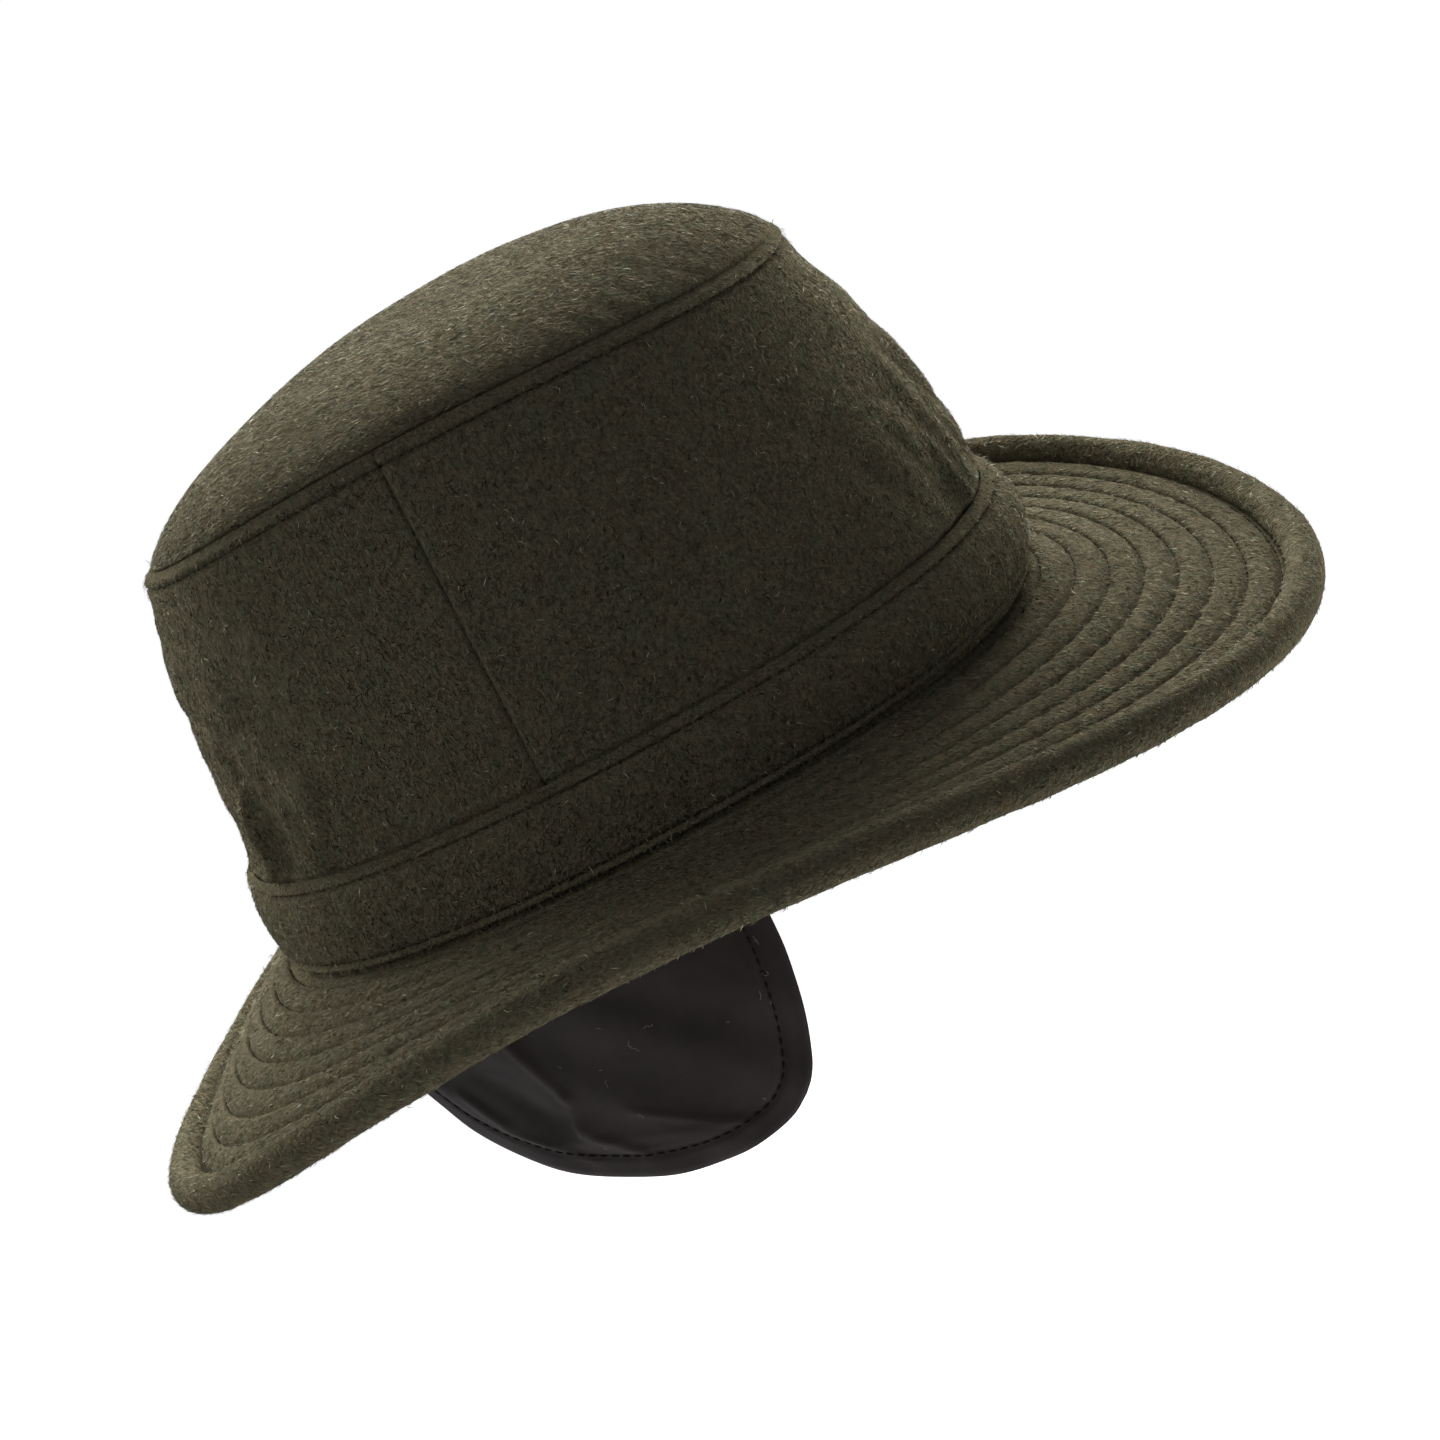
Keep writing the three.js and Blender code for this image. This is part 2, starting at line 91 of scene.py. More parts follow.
# Folds: from one place on the wall to another. Degrees from the front, shares of the height.
CROWN_FOLDS = (
    # angle1, height1, angle2, height2, rise, spread in degrees
    (186, 0.95, 186, 0.5, 3.3, 26),
    (188, 0.17, 188, 0.08, -1.7, 20),
    (216, 0.62, 230, 0.27, 1.3, 5),
    (204, 0.44, 215, 0.22, 1.9, 4),
    (215, 0.22, 211, 0.0, 1.7, 4),
    (220, 0.33, 226, 0.12, 1.3, 3.5),
    (221, 0.46, 222, 0.3, -0.9, 4),
    (218.5, 0.16, 217.5, 0.06, -1.1, 3.5),
    (231, 0.26, 227.5, 0.0, 1.5, 4),
    (238, 0.34, 242, 0.06, 0.9, 5),
    (196, 0.5, 199, 0.05, 1.2, 5),
    (181, 0.42, 178, 0.03, 1.3, 5),
    (166, 0.46, 162, 0.04, 1.4, 5),
    (150, 0.52, 142, 0.06, 1.2, 5),
    (158, 0.4, 151, 0.1, -1.2, 5),
    (133, 0.4, 128, 0.05, 0.9, 5),
    (8, 0.5, 5, 0.04, 1.5, 4.5),
    (-1, 0.52, 3, 0.05, -1.1, 4),
    (-5.5, 0.48, -6.2, 0.0, 1.2, 4),
    (-12, 0.42, -10.5, 0.04, -0.7, 4),
    (-15, 0.34, -11, 0.0, 1.3, 3.5),
    (-15.5, 0.13, -16, 0.02, -1.6, 4),
    (-24, 0.4, -18, 0.1, 0.9, 5),
    (-25, 0.26, -26, 0.05, 0.8, 5),
    (18, 0.46, 14, 0.03, 1.3, 4.5),
    (28, 0.38, 23, 0.03, 1.1, 5),
    (12, 0.97, 12, 0.84, 1.2, 22),
    (14, 0.74, 14, 0.2, 3.0, 24),
)
FLAP_FOLDS = (
    # degrees from the back, height in mm, and the same again, rise, spread in mm
    (59.5, -24, 65, -54, 0.6, 5),
    (43, -36, 58, -56, 0.5, 5),
    (58, -56, 88, -67, 0.2, 5),
    (52, -34, 61, -50, -1.1, 5),
)
FLAP_REACH = (
    # share of the way down, degrees from the back
    (0, 105.3), (0.3, 105), (0.5, 104.4), (0.61, 103.6), (0.76, 102), (0.9, 99.7), (0.96, 98.1),
    (1, 96.4),
)
FLAP_HEM = (
    # share of the way from the back to the front edge, height
    (0, -33), (0.2, -33.5), (0.33, -34.5), (0.38, -40.5), (0.43, -49), (0.5, -57),
    (0.585, -64.5), (0.7, -71), (0.78, -74), (0.865, -74.6), (0.93, -73.2), (0.97, -71.1),
    (1, -67.7),
)

# How softly folds end: shares of the wall's height on the crown, mm on the flap
CROWN_FOLD_END, CROWN_CREASE_END, FLAP_FOLD_END, FLAP_CREASE_END = 0.07, 0.05, 6, 2.5
FOOT_FOLDS = 0.3  # share of their height that the crown's folds keep at the band
FLAP_FOLD_SCALE = 1.5  # mm of a spread in a degree round the flap
FLAP_FOLDS_BEGIN, FLAP_WAVES_BEGIN = (9, 14), (10, 25)  # mm down

# Finer folds that only the cloth shows, in the same columns as the folds above
CROWN_CREASES = (
    (203, 0.67, 211, 0.53, 0.9, 2.2),
    (211, 0.53, 217, 0.42, 0.7, 2.0),
    (208.8, 0.45, 214.5, 0.31, 1.0, 1.4),
    (215, 0.29, 214.8, 0.17, 1.1, 1.3),
    (214.8, 0.15, 213.2, 0.03, 1.0, 1.2),
    (217, 0.33, 224, 0.24, 0.8, 1.4),
    (224.3, 0.23, 226.5, 0.16, 0.9, 1.4),
    (232.5, 0.26, 231, 0.15, 0.7, 1.8),
    (213.5, 0.42, 218, 0.3, -0.7, 1.6),
    (219, 0.2, 218, 0.06, -0.5, 1.6),
    (209, 0.26, 209.5, 0.06, -0.6, 1.8),
    (222.5, 0.15, 221.5, 0.02, 0.5, 1.3),
    (246, 0.2, 249, 0.02, 0.35, 2.4),
    (191, 0.34, 193, 0.04, -0.8, 2.0),
    (172, 0.36, 170, 0.03, -0.5, 2.2),
    (-1.5, 0.44, 1.5, 0.3, 0.7, 1.4),
    (2.0, 0.28, 4.0, 0.1, 0.6, 1.4),
    (-8.6, 0.42, -8.2, 0.02, -0.6, 1.5),
    (-11.8, 0.2, -9.8, 0.02, 0.9, 1.3),
    (-14.2, 0.26, -13, 0.03, -0.7, 1.6),
    (-19.5, 0.3, -14.5, 0.02, -0.7, 1.7),
    (-29, 0.3, -22.5, 0.03, -0.6, 2.0),
    (-33, 0.3, -30, 0.02, 0.35, 2.4),
    (12.5, 0.4, 9.5, 0.02, -0.5, 1.8),
    (34, 0.3, 31, 0.02, 0.4, 2.4),
    # broad hollows
    (190, 0.53, 191, 0.49, -2.2, 20),
    (190, 0.97, 190, 0.92, -1.7, 26),
    (190, 0.86, 190, 0.8, -0.9, 24),
    (11, 0.97, 12, 0.77, -1.4, 20),
    (9, 0.27, 8, 0.21, -1.0, 9),
)
FLAP_CREASES = (
    # in the same columns as FLAP_FOLDS
    (61.7, -27, 64.9, -43, 0.9, 1.6),
    (65.2, -46, 64, -53, 0.9, 1.6),
    (64.5, -56, 71, -65, 0.6, 1.8),
    (73.6, -54, 87, -67.5, 0.45, 1.8),
    (46.4, -38, 51, -48, 0.6, 2.0),
    (52, -51, 63, -63, 0.5, 2.0),
)
TIP_HOLLOW = (165, 38, 0.7, 0.24, 2.2)  # degrees and their spread, share and its spread, depth

NAP_GROUND = {}  # outer surface of each finished piece, for the nap to grow on
SEWN = []  # points in mm along each seam and stitched line, where the nap is bare


def length_property(name, description, default, low, high):
    return FloatProperty(
        name=name, description=description, default=default, min=low, max=high, precision=5,
        unit="LENGTH")


class HatSizes(bpy.types.PropertyGroup):
    """Sizes of the cloth, the stitching and the nap, in metres"""

    wool_wall: length_property(
        "Wool thickness", "Thickness of the crown and band cloth", 0.0025, 0.0008, 0.003)
    flap_wall: length_property(
        "Flap thickness", "Thickness of the flap's cloth, two layers sewn together", 0.0019, 0.0008, 0.002)
    seam_turn: length_property(
        "Seam turn", "How far a cloth edge turns in beside a seam", 0.0014, 0.0, 0.002)
    tip_stitch_inset: length_property(
        "Crown topstitch", "Distance of the topstitch from the tip's seam", 0.0032, 0.001, 0.006)
    band_stitch_inset: length_property(
        "Band topstitch", "Distance of the topstitches from the band's edges", 0.0027, 0.001, 0.006)
    flap_stitch_inset: length_property(
        "Flap edge stitch", "Distance of the stitch from the flap's edge", 0.0065, 0.003, 0.01)
    stitch_length: length_property(
        "Stitch length", "From one needle hole to the next", 0.003, 0.0015, 0.006)
    thread: length_property("Thread", "Thickness of the sewing thread", 0.00038, 0.0002, 0.0008)
    brim_rows: IntProperty(
        name="Brim rows", description="Rows of quilting round the brim",
        default=8, min=2, max=8)
    brim_row_depth: length_property(
        "Row depth", "How deep the quilting pulls into the brim", 0.0009, 0.0, 0.0015)
    nap_length: length_property(
        "Nap length", "Usual length of a wool fibre of the nap", 0.0019, 0.0005, 0.004)
    nap_width: length_property(
        "Nap width", "Width of a tuft of fibres, drawn as coarse as it has to show", 0.0002, 0.00005, 0.0004)


def colour_property(name, description, default):
    return FloatVectorProperty(
        name=name, description=description, default=default, min=0, max=1, size=3,
        subtype="COLOR_GAMMA")


def hex_colour(code):
    """sRGB parts of a hex colour."""
    return tuple(int(code[i:i + 2], 16) / 255 for i in (1, 3, 5))


class HatColours(bpy.types.PropertyGroup):
    """Colours of the wool, the flap and the thread, as sRGB"""

    wool_olive: colour_property("Olive wool", "Main colour of the wool", hex_colour("#544f3e"))
    wool_green: colour_property("Green wool", "Darker green tufts of the blend", hex_colour("#50503e"))
    wool_brown: colour_property("Brown wool", "Brown tufts of the blend", hex_colour("#574f3d"))
    wool_pale: colour_property("Pale fibres", "Pale fibres of the blend", hex_colour("#8b8972"))
    flap: colour_property("Flap cloth", "Brushed cloth of the flap", hex_colour("#2b2423"))
    thread: colour_property("Thread", "Sewing thread", hex_colour("#1c1a14"))
    lint: colour_property("Lint", "Specks of lint", hex_colour("#857e70"))


# Curves and waves
def smooth_step(x, low, high):
    s = np.clip((x - low) / (high - low), 0, 1)
    return s * s * (3 - 2 * s)


def through(table, x):
    """Smooth curve through a table of x and y."""
    xs, ys = np.array(table, float).T
    i = np.clip(np.searchsorted(xs, x, side="left") - 1, 0, len(xs) - 2)
    before, after = np.maximum(i - 1, 0), np.minimum(i + 2, len(xs) - 1)
    run = xs[i + 1] - xs[i]
    slope0 = (ys[i + 1] - ys[before]) / (xs[i + 1] - xs[before])
    slope1 = (ys[after] - ys[i]) / (xs[after] - xs[i])
    s = np.clip((x - xs[i]) / run, 0, 1)
    return (
        (2 * s**3 - 3 * s**2 + 1) * ys[i] + (s**3 - 2 * s**2 + s) * run * slope0
        + (3 * s**2 - 2 * s**3) * ys[i + 1] + (s**3 - s**2) * run * slope1
    )


def fold_rise(folds, x, y, x_scale, end_soft, turn):
    """Height of all folds of a table at x and y. turn is a full turn of x, or 0 where x has an end."""
    total = np.zeros(np.broadcast(x, y).shape)
    for x1, y1, x2, y2, rise, spread in folds:
        along = np.clip((y - y1) / (y2 - y1 or 1), 0, 1)
        away = x - (x1 + (x2 - x1) * along)
        if turn:
            away = away - turn * np.round(away / turn)
        over = np.maximum(np.maximum(y - max(y1, y2), min(y1, y2) - y), 0) / end_soft
        total = total + rise * np.exp(-((away * x_scale / spread) ** 2) - over * over)
    return total


def waves(table, t):
    """Sum of waves round the hat, from a table of crests in a turn and heights."""
    return sum(height * np.cos(turns * t) for turns, height in table)


def unevenness(t, seed, fewest, most, count=9):
    """Smooth wave round the hat between -1 and 1, with that many crests in a turn."""
    rng = np.random.default_rng(seed)
    turns = np.unique(rng.integers(fewest, most + 1, count))
    phases = rng.uniform(0, TURN, len(turns))
    total = sum(np.cos(k * t + p) for k, p in zip(turns, phases))
    return total / math.sqrt(2 * len(turns))


def crests(distance, width):
    """Bell curve: 1 at no distance, and about a third at that width."""
    return np.exp(-((distance / width) ** 2))


def angle_from(t, angle):
    """How far an angle is from another one, the short way round, in radians."""
    return np.arctan2(np.sin(t - angle), np.cos(t - angle))


def degrees_from(t, degrees):
    return np.degrees(angle_from(t, math.radians(degrees)))


def unit(vectors):
    """The same directions, each with a length of one."""
    return vectors / np.linalg.norm(vectors, axis=-1, keepdims=True)


# Lines and surfaces of the hat, in mm. t is the angle from the front.
def at(x, y, z):
    """Points from their three parts, each a number or an array."""
    return np.stack(np.broadcast_arrays(x, y, z), -1)


def outward(t, half_length=HEAD_HALF_LENGTH, half_width=HEAD_HALF_WIDTH):
    """Level direction out of an oval."""
    return unit(at(np.cos(t) / half_length, np.sin(t) / half_width, 0.0))


def by(number, vector):
    """Each vector times its number."""
    return np.asarray(number)[..., None] * vector


def between(a, b, share):
    return a + (b - a) * np.asarray(share)[..., None]


def band_foot(t):
    return at(HEAD_HALF_LENGTH * np.cos(t), HEAD_HALF_WIDTH * np.sin(t), BAND_SIDE_LIFT * np.sin(t) ** 2)


def band_head(t):
    return at(
        BAND_TOP_SHIFT + BAND_TOP_HALF_LENGTH * np.cos(t), BAND_TOP_HALF_WIDTH * np.sin(t),
        BAND_HEIGHT + BAND_TOP_SIDE_LIFT * np.sin(t) ** 2)


def tip_surface(t, share):
    side = np.sin(t) ** 2
    sag = TIP_CORNER_SAG * crests(angle_from(t, TIP_CORNER), TIP_CORNER_SPREAD) * share**6
    power = TIP_DOME_POWER + TIP_DOME_FULL_ENDS * (1 - side)
    return at(
        TIP_SHIFT + TIP_HALF_LENGTH * share * np.cos(t),
        TIP_HALF_WIDTH * share * np.sin(t),
        TIP_SEAM_HEIGHT + TIP_SEAM_SIDE_LIFT * side * share**TIP_SEAM_SIDE_POWER
        + TIP_DOME * (1 - share**power) - sag)


def crown_wall(t, h):
    out = outward(t)
    foot = band_head(t) - CROWN_INSET * out - at(0, 0, SEAM_OVERLAP)
    head = tip_surface(t, 1.0) + at(0, 0, TIP_OVERLAP)
    degrees = np.degrees(t)
    rise = fold_rise(CROWN_FOLDS, degrees, h, x_scale=1, end_soft=CROWN_FOLD_END, turn=360)
    rise = rise + fold_rise(CROWN_CREASES, degrees, h, x_scale=1, end_soft=CROWN_CREASE_END, turn=360)
    # the folds fade out at the tip's seam and get lower at the band
    at_foot = FOOT_FOLDS + (1 - FOOT_FOLDS) * smooth_step(h, 0.01, 0.06)
    rise = rise * smooth_step(1 - h, 0.0, 0.05) * at_foot
    return between(foot, head, h) + by(rise, out)


def band_wall(t, v):
    front = smooth_step(np.cos(t), 0.35, 0.95)
    bulge = BAND_BULGE_SIDE + (BAND_BULGE_FRONT - BAND_BULGE_SIDE) * front
    bulge = bulge * np.sin(np.pi * np.clip(v, 0, 1) ** BAND_BULGE_LIFT) ** BAND_BULGE_FULL
    foot = band_foot(t) - at(0, 0, SEAM_OVERLAP)
    return between(foot, band_head(t), v) + by(bulge, outward(t))


def roll_middle(t):
    corner = np.where(np.cos(t) > 0, BRIM_FRONT_CORNERS * np.sin(2 * t) ** 2, 0)
    middle = at(
        BRIM_SHIFT + (BRIM_HALF_LENGTH - ROLL_RADIUS) * np.cos(t),
        (BRIM_HALF_WIDTH - ROLL_RADIUS) * np.sin(t),
        waves(BRIM_WAVES, t) - ROLL_DIP * crests(degrees_from(t, ROLL_DIP_ANGLE), ROLL_DIP_SPREAD))
    return middle + by(corner, outward(t, BRIM_HALF_LENGTH, BRIM_HALF_WIDTH))


def brim_top(t, w):
    start = band_foot(t) - at(0, 0, SEAM_GAP)
    end = roll_middle(t) - (ROLL_RADIUS - ROLL_REACHED) * outward(t, BRIM_HALF_LENGTH, BRIM_HALF_WIDTH)
    end = end + at(0, 0, ROLL_ABOVE_BRIM)
    return between(start, end, w) + at(0, 0, waves(BRIM_BOW, t) * 4 * w * (1 - w))


def flap_at(side, from_back, z, wall):
    """The flap's outer face, by degrees from the back and height."""
    t = np.pi + side * np.radians(from_back)
    middle = HEAD_HALF_LENGTH - BAND_WALL - SEAM_GAP - FLAP_EASE - FLAP_HALF_WALL
    lean = FLAP_LEAN * np.minimum(z, 0)
    p = at(
        (middle + lean) * np.cos(t),
        (middle - HEAD_HALF_LENGTH + HEAD_HALF_WIDTH + lean) * np.sin(t), z)
    rise = fold_rise(FLAP_FOLDS, from_back, z, FLAP_FOLD_SCALE, FLAP_FOLD_END, turn=0)
    rise = rise * smooth_step(-z, *FLAP_FOLDS_BEGIN)
    return p + by(rise + wall / 2, outward(t))


def flap_place(u, v):
    """Side, degrees from the back and height of the flap's grid point."""
    side = np.where(u < 0, -1.0, 1.0)
    share = np.abs(u)
    from_back = share * through(FLAP_REACH, v)
    t = np.pi + side * np.radians(from_back)
    top = BAND_SIDE_LIFT * np.sin(t) ** 2 + FLAP_TOP
    return side, from_back, top + (through(FLAP_HEM, share) - top) * v


# Making meshes
SMOOTH_ANGLE = math.radians(60)  # a sharper edge than this stays sharp
WELD = 2e-6  # metres between points that become one


def start_fresh():
    if bpy.context.object and bpy.context.object.mode != "OBJECT":
        bpy.ops.object.mode_set(mode="OBJECT")
    bpy.ops.object.select_all(action="DESELECT")


def only(obj):
    start_fresh()
    obj.select_set(True)
    bpy.context.view_layer.objects.active = obj
    return obj


def lay_grid(name, columns, rows, surface, closed=True):
    """A flat grid whose points are moved on to a surface, as cloth is laid over a block."""
    start_fresh()
    bpy.ops.mesh.primitive_grid_add(
        x_subdivisions=len(columns) - 1, y_subdivisions=len(rows) - 1, size=2, calc_uvs=True)
    obj = bpy.context.object
    obj.name = obj.data.name = name
    mesh = obj.data
    flat = np.empty(len(mesh.vertices) * 3)
    mesh.vertices.foreach_get("co", flat)
    flat = flat.reshape(-1, 3)
    across = np.rint((flat[:, 0] + 1) / 2 * (len(columns) - 1)).astype(int)
    up = np.rint((flat[:, 1] + 1) / 2 * (len(rows) - 1)).astype(int)
    places = surface(columns[across], rows[up]) * MM
    mesh.vertices.foreach_set("co", places.ravel())
    mesh.update()
    if closed:
        bpy.ops.object.mode_set(mode="EDIT")
        bpy.ops.mesh.select_all(action="SELECT")
        bpy.ops.mesh.remove_doubles(threshold=WELD)
        bpy.ops.object.mode_set(mode="OBJECT")
    mesh.polygons.foreach_set("use_smooth", np.ones(len(mesh.polygons), bool))
    return obj


def keep_ground(obj):
    """Keeps the four-sided faces of a piece's outside for the nap."""
    mesh = obj.data
    points = np.empty(len(mesh.vertices) * 3)
    mesh.vertices.foreach_get("co", points)
    quads = [tuple(face.vertices) for face in mesh.polygons if face.loop_total == 4]
    NAP_GROUND[obj.name] = (points.reshape(-1, 3), np.array(quads))


def apply_modifier(obj, kind, **settings):
    only(obj)
    modifier = obj.modifiers.new(kind.title(), kind)
    for key, value in settings.items():
        setattr(modifier, key, value)
    bpy.ops.object.modifier_apply(modifier=modifier.name)


def give_wall(obj, thickness):
    apply_modifier(obj, "SOLIDIFY", thickness=thickness, offset=-1.0, use_even_offset=True)
    only(obj)
    bpy.ops.object.shade_smooth_by_angle(angle=SMOOTH_ANGLE)


def joined_mesh(name, points, faces, uv=None):
    """One mesh from an array of points and an array of faces, all with as many corners."""
    mesh = bpy.data.meshes.new(name)
    mesh.from_pydata(points, [], faces)
    if uv is not None:
        mesh.uv_layers.new(name="UVMap").data.foreach_set("uv", np.asarray(uv, np.float32).ravel())
    mesh.polygons.foreach_set("use_smooth", np.ones(len(mesh.polygons), bool))
    obj = bpy.data.objects.new(name, mesh)
    bpy.context.scene.collection.objects.link(obj)
    return obj


def dress(obj, material, slot, *nodes):
    """Gives a piece its material, puts it on the hat's body and hides the solids that it stands for."""
    obj.data.materials.clear()
    obj.data.materials.append(material)
    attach(obj, "root")
    if nodes:
        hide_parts(*nodes)
    return obj


# Materials
def linear(colour):
    """Linear colour, with alpha, from sRGB parts."""
    parts = [c / 12.92 if c <= 0.04045 else ((c + 0.055) / 1.055) ** 2.4 for c in colour]
    return (*parts, 1.0)


def node(tree, kind, settings=(), stops=(), **links):
    """Adds a node with its settings, for its fields or for its sockets by name or number, and its links.

    Stops are the positions and colours of a colour ramp, lowest first.
    """
    new = tree.nodes.new(kind)
    for key, value in dict(settings).items():
        if isinstance(key, str) and hasattr(new, key):
            setattr(new, key, value)
        else:
            new.inputs[key].default_value = value
    for number, (position, colour) in enumerate(stops):
        if number == len(new.color_ramp.elements):
            new.color_ramp.elements.new(1.0)
        element = new.color_ramp.elements[number]
        element.position, element.color = position, colour
    for key, source in links.items():
        socket = new.inputs[int(key[1:])] if key[0] == "_" else new.inputs[key.replace("_", " ")]
        tree.links.new(source, socket)
    return new


def new_material(name):
    found = bpy.data.materials.get(name)
    if found:
        return found, None, None
    material = bpy.data.materials.new(name)
    material.use_nodes = True
    tree = material.node_tree
    return material, tree, tree.nodes["Principled BSDF"]


def grey(value):
    return (value, value, value, 1.0)


def times(share, colour):
    """A lighter or darker linear colour."""
    return (*(share * part for part in colour[:3]), 1.0)


def blend_colour(tree, colours):
    """Object coordinates, and blended wool in tufts of olive, green and brown, 4 mm across."""
    coords = node(tree, "ShaderNodeTexCoord").outputs["Object"]
    patches = node(tree, "ShaderNodeTexNoise", {"Scale": 250.0, "Detail": 4.0, "Roughness": 0.65},
                   Vector=coords)
    blend = node(
        tree, "ShaderNodeValToRGB", Fac=patches.outputs["Fac"], stops=(
            (0.34, linear(colours.wool_green)), (0.5, linear(colours.wool_olive)),
            (0.66, linear(colours.wool_brown))))
    return coords, blend.outputs["Color"]


def wool_melton(name, lay):
    """Wool melton: woven, milled and brushed till the weave is gone. lay draws its fibres out."""
    colours = bpy.context.scene.hat_colours
    material, tree, shader = new_material(name)
    if tree is None:
        return material
    coords, colour = blend_colour(tree, colours)
    # felted tufts 1.1 mm across, and strokes of fibres 2.2 mm long, as coarse as they have to show
    tufts = node(tree, "ShaderNodeTexNoise", {"Scale": 900.0, "Detail": 3.0, "Roughness": 0.6},
                 Vector=coords)
    drawn = node(tree, "ShaderNodeMapping", {"Scale": lay}, Vector=coords)
    fibres = node(tree, "ShaderNodeTexNoise", {"Scale": 1800.0, "Detail": 2.0, "Roughness": 0.6},
                  Vector=drawn.outputs["Vector"])
    both = node(tree, "ShaderNodeMix", {"data_type": "FLOAT", "Factor": 0.45},
                _2=tufts.outputs["Fac"], _3=fibres.outputs["Fac"])
    shade = node(tree, "ShaderNodeValToRGB", Fac=both.outputs[0],
                 stops=((0.36, grey(0.72)), (0.5, grey(1.0)), (0.64, grey(1.3))))
    mixed = node(tree, "ShaderNodeMix", {"data_type": "RGBA", "blend_type": "MULTIPLY", "Factor": 1.0},
                 _6=colour, _7=shade.outputs["Color"])
    bump = node(tree, "ShaderNodeBump", {"Strength": 1.0, "Distance": 0.0024},
                Height=both.outputs[0])
    tree.links.new(mixed.outputs[2], shader.inputs["Base Color"])
    tree.links.new(bump.outputs["Normal"], shader.inputs["Normal"])
    # the fuzz that gives wool its soft shine is modelled, so its ground has none
    shader.inputs["Roughness"].default_value = 1.0
    shader.inputs["Specular IOR Level"].default_value = 0.0
    return material


def laid_wool():
    """The tip, the brim and the roll are cut with their nap from front to back."""
    return wool_melton("wool_melton_laid_back", (0.25, 1.0, 1.0))


def wall_wool():
    """The crown's wall and the band are cut with their nap running down."""
    return wool_melton("wool_melton_laid_down", (0.8, 0.8, 0.4))


def wool_nap():
    """Loose wool fibres of the brushed face. Each takes its tone from its own place on the UV map."""
    colours = bpy.context.scene.hat_colours
    material, tree, shader = new_material("wool_nap_fibres")
    if tree is None:
        return material
    _, colour = blend_colour(tree, colours)
    tone = node(tree, "ShaderNodeSeparateXYZ",
                Vector=node(tree, "ShaderNodeTexCoord").outputs["UV"]).outputs["X"]
    shade = node(tree, "ShaderNodeValToRGB", Fac=tone,
                 stops=((0.0, grey(0.65)), (0.7, grey(1.0)), (1.0, grey(1.8))))
    mixed = node(tree, "ShaderNodeMix", {"data_type": "RGBA", "blend_type": "MULTIPLY", "Factor": 1.0},
                 _6=colour, _7=shade.outputs["Color"])
    pale = node(tree, "ShaderNodeMath", {"operation": "GREATER_THAN", 1: 0.98}, _0=tone)
    final = node(tree, "ShaderNodeMix", {"data_type": "RGBA", 7: linear(colours.wool_pale)},
                 _0=pale.outputs[0], _6=mixed.outputs[2])
    tree.links.new(final.outputs[2], shader.inputs["Base Color"])
    shader.inputs["Roughness"].default_value = 0.9
    shader.inputs["Specular IOR Level"].default_value = 0.02
    return material


def flap_cloth():
    """Brushed polyester over wadding: matt and even, with faint threads across it."""
    colours = bpy.context.scene.hat_colours
    material, tree, shader = new_material("brushed_flap_cloth")
    if tree is None:
        return material
    coords = node(tree, "ShaderNodeTexCoord")
    patches = node(tree, "ShaderNodeTexNoise", {"Scale": 60.0, "Detail": 4.0, "Roughness": 0.6},
                   Vector=coords.outputs["Object"])
    # threads 0.5 mm apart, drawn as coarse as they have to show
    warp, weft = (
        node(tree, "ShaderNodeTexWave",
             {"wave_type": "BANDS", "bands_direction": way, "Scale": 320.0, "Distortion": 1.5,
              "Detail": 2.0}, Vector=coords.outputs["UV"]) for way in "XY")
    weave = node(tree, "ShaderNodeMath", {"operation": "ADD"}, _0=warp.outputs["Fac"],
                 _1=weft.outputs["Fac"])
    fuzz = node(tree, "ShaderNodeTexNoise", {"Scale": 1500.0, "Detail": 2.0},
                Vector=coords.outputs["Object"])
    height = node(tree, "ShaderNodeMath", {"operation": "ADD"}, _0=weave.outputs[0],
                  _1=fuzz.outputs["Fac"])
    base = linear(colours.flap)
    tone = node(tree, "ShaderNodeValToRGB", Fac=patches.outputs["Fac"],
                stops=((0.35, times(0.8, base)), (0.65, times(1.25, base))))
    tree.links.new(tone.outputs["Color"], shader.inputs["Base Color"])
    bump = node(tree, "ShaderNodeBump", {"Strength": 0.25, "Distance": 0.0001}, Height=height.outputs[0])
    tree.links.new(bump.outputs["Normal"], shader.inputs["Normal"])
    shader.inputs["Roughness"].default_value = 0.95
    shader.inputs["Specular IOR Level"].default_value = 0.15
    shader.inputs["Sheen Weight"].default_value = 0.12
    shader.inputs["Sheen Roughness"].default_value = 0.5
    return material


def plain_thread(name, colour):
    """Spun polyester thread, and lint, both dull."""
    material, tree, shader = new_material(name)
    if tree is None:
        return material
    coords = node(tree, "ShaderNodeTexCoord").outputs["Object"]
    twist = node(tree, "ShaderNodeTexNoise", {"Scale": 2500.0, "Detail": 1.0}, Vector=coords)
    base = linear(colour)
    tone = node(tree, "ShaderNodeValToRGB", Fac=twist.outputs["Fac"],
                stops=((0.35, times(0.7, base)), (0.65, base)))
    tree.links.new(tone.outputs["Color"], shader.inputs["Base Color"])
    shader.inputs["Roughness"].default_value = 0.95
    shader.inputs["Specular IOR Level"].default_value = 0.03
    return material


# Rows of a grid, closer together where stitches pull the cloth in
CLEAR_OF_LINES, CLOSEST_ROWS = 1.25, 0.12  # shares of the widest near row, and mm
TIP_COLUMNS, BAND_COLUMNS, BRIM_COLUMNS, ROLL_COLUMNS, ROLL_AROUND = 232, 330, 300, 380, 30
FLAP_COLUMNS, FLAP_ROWS = 361, 91
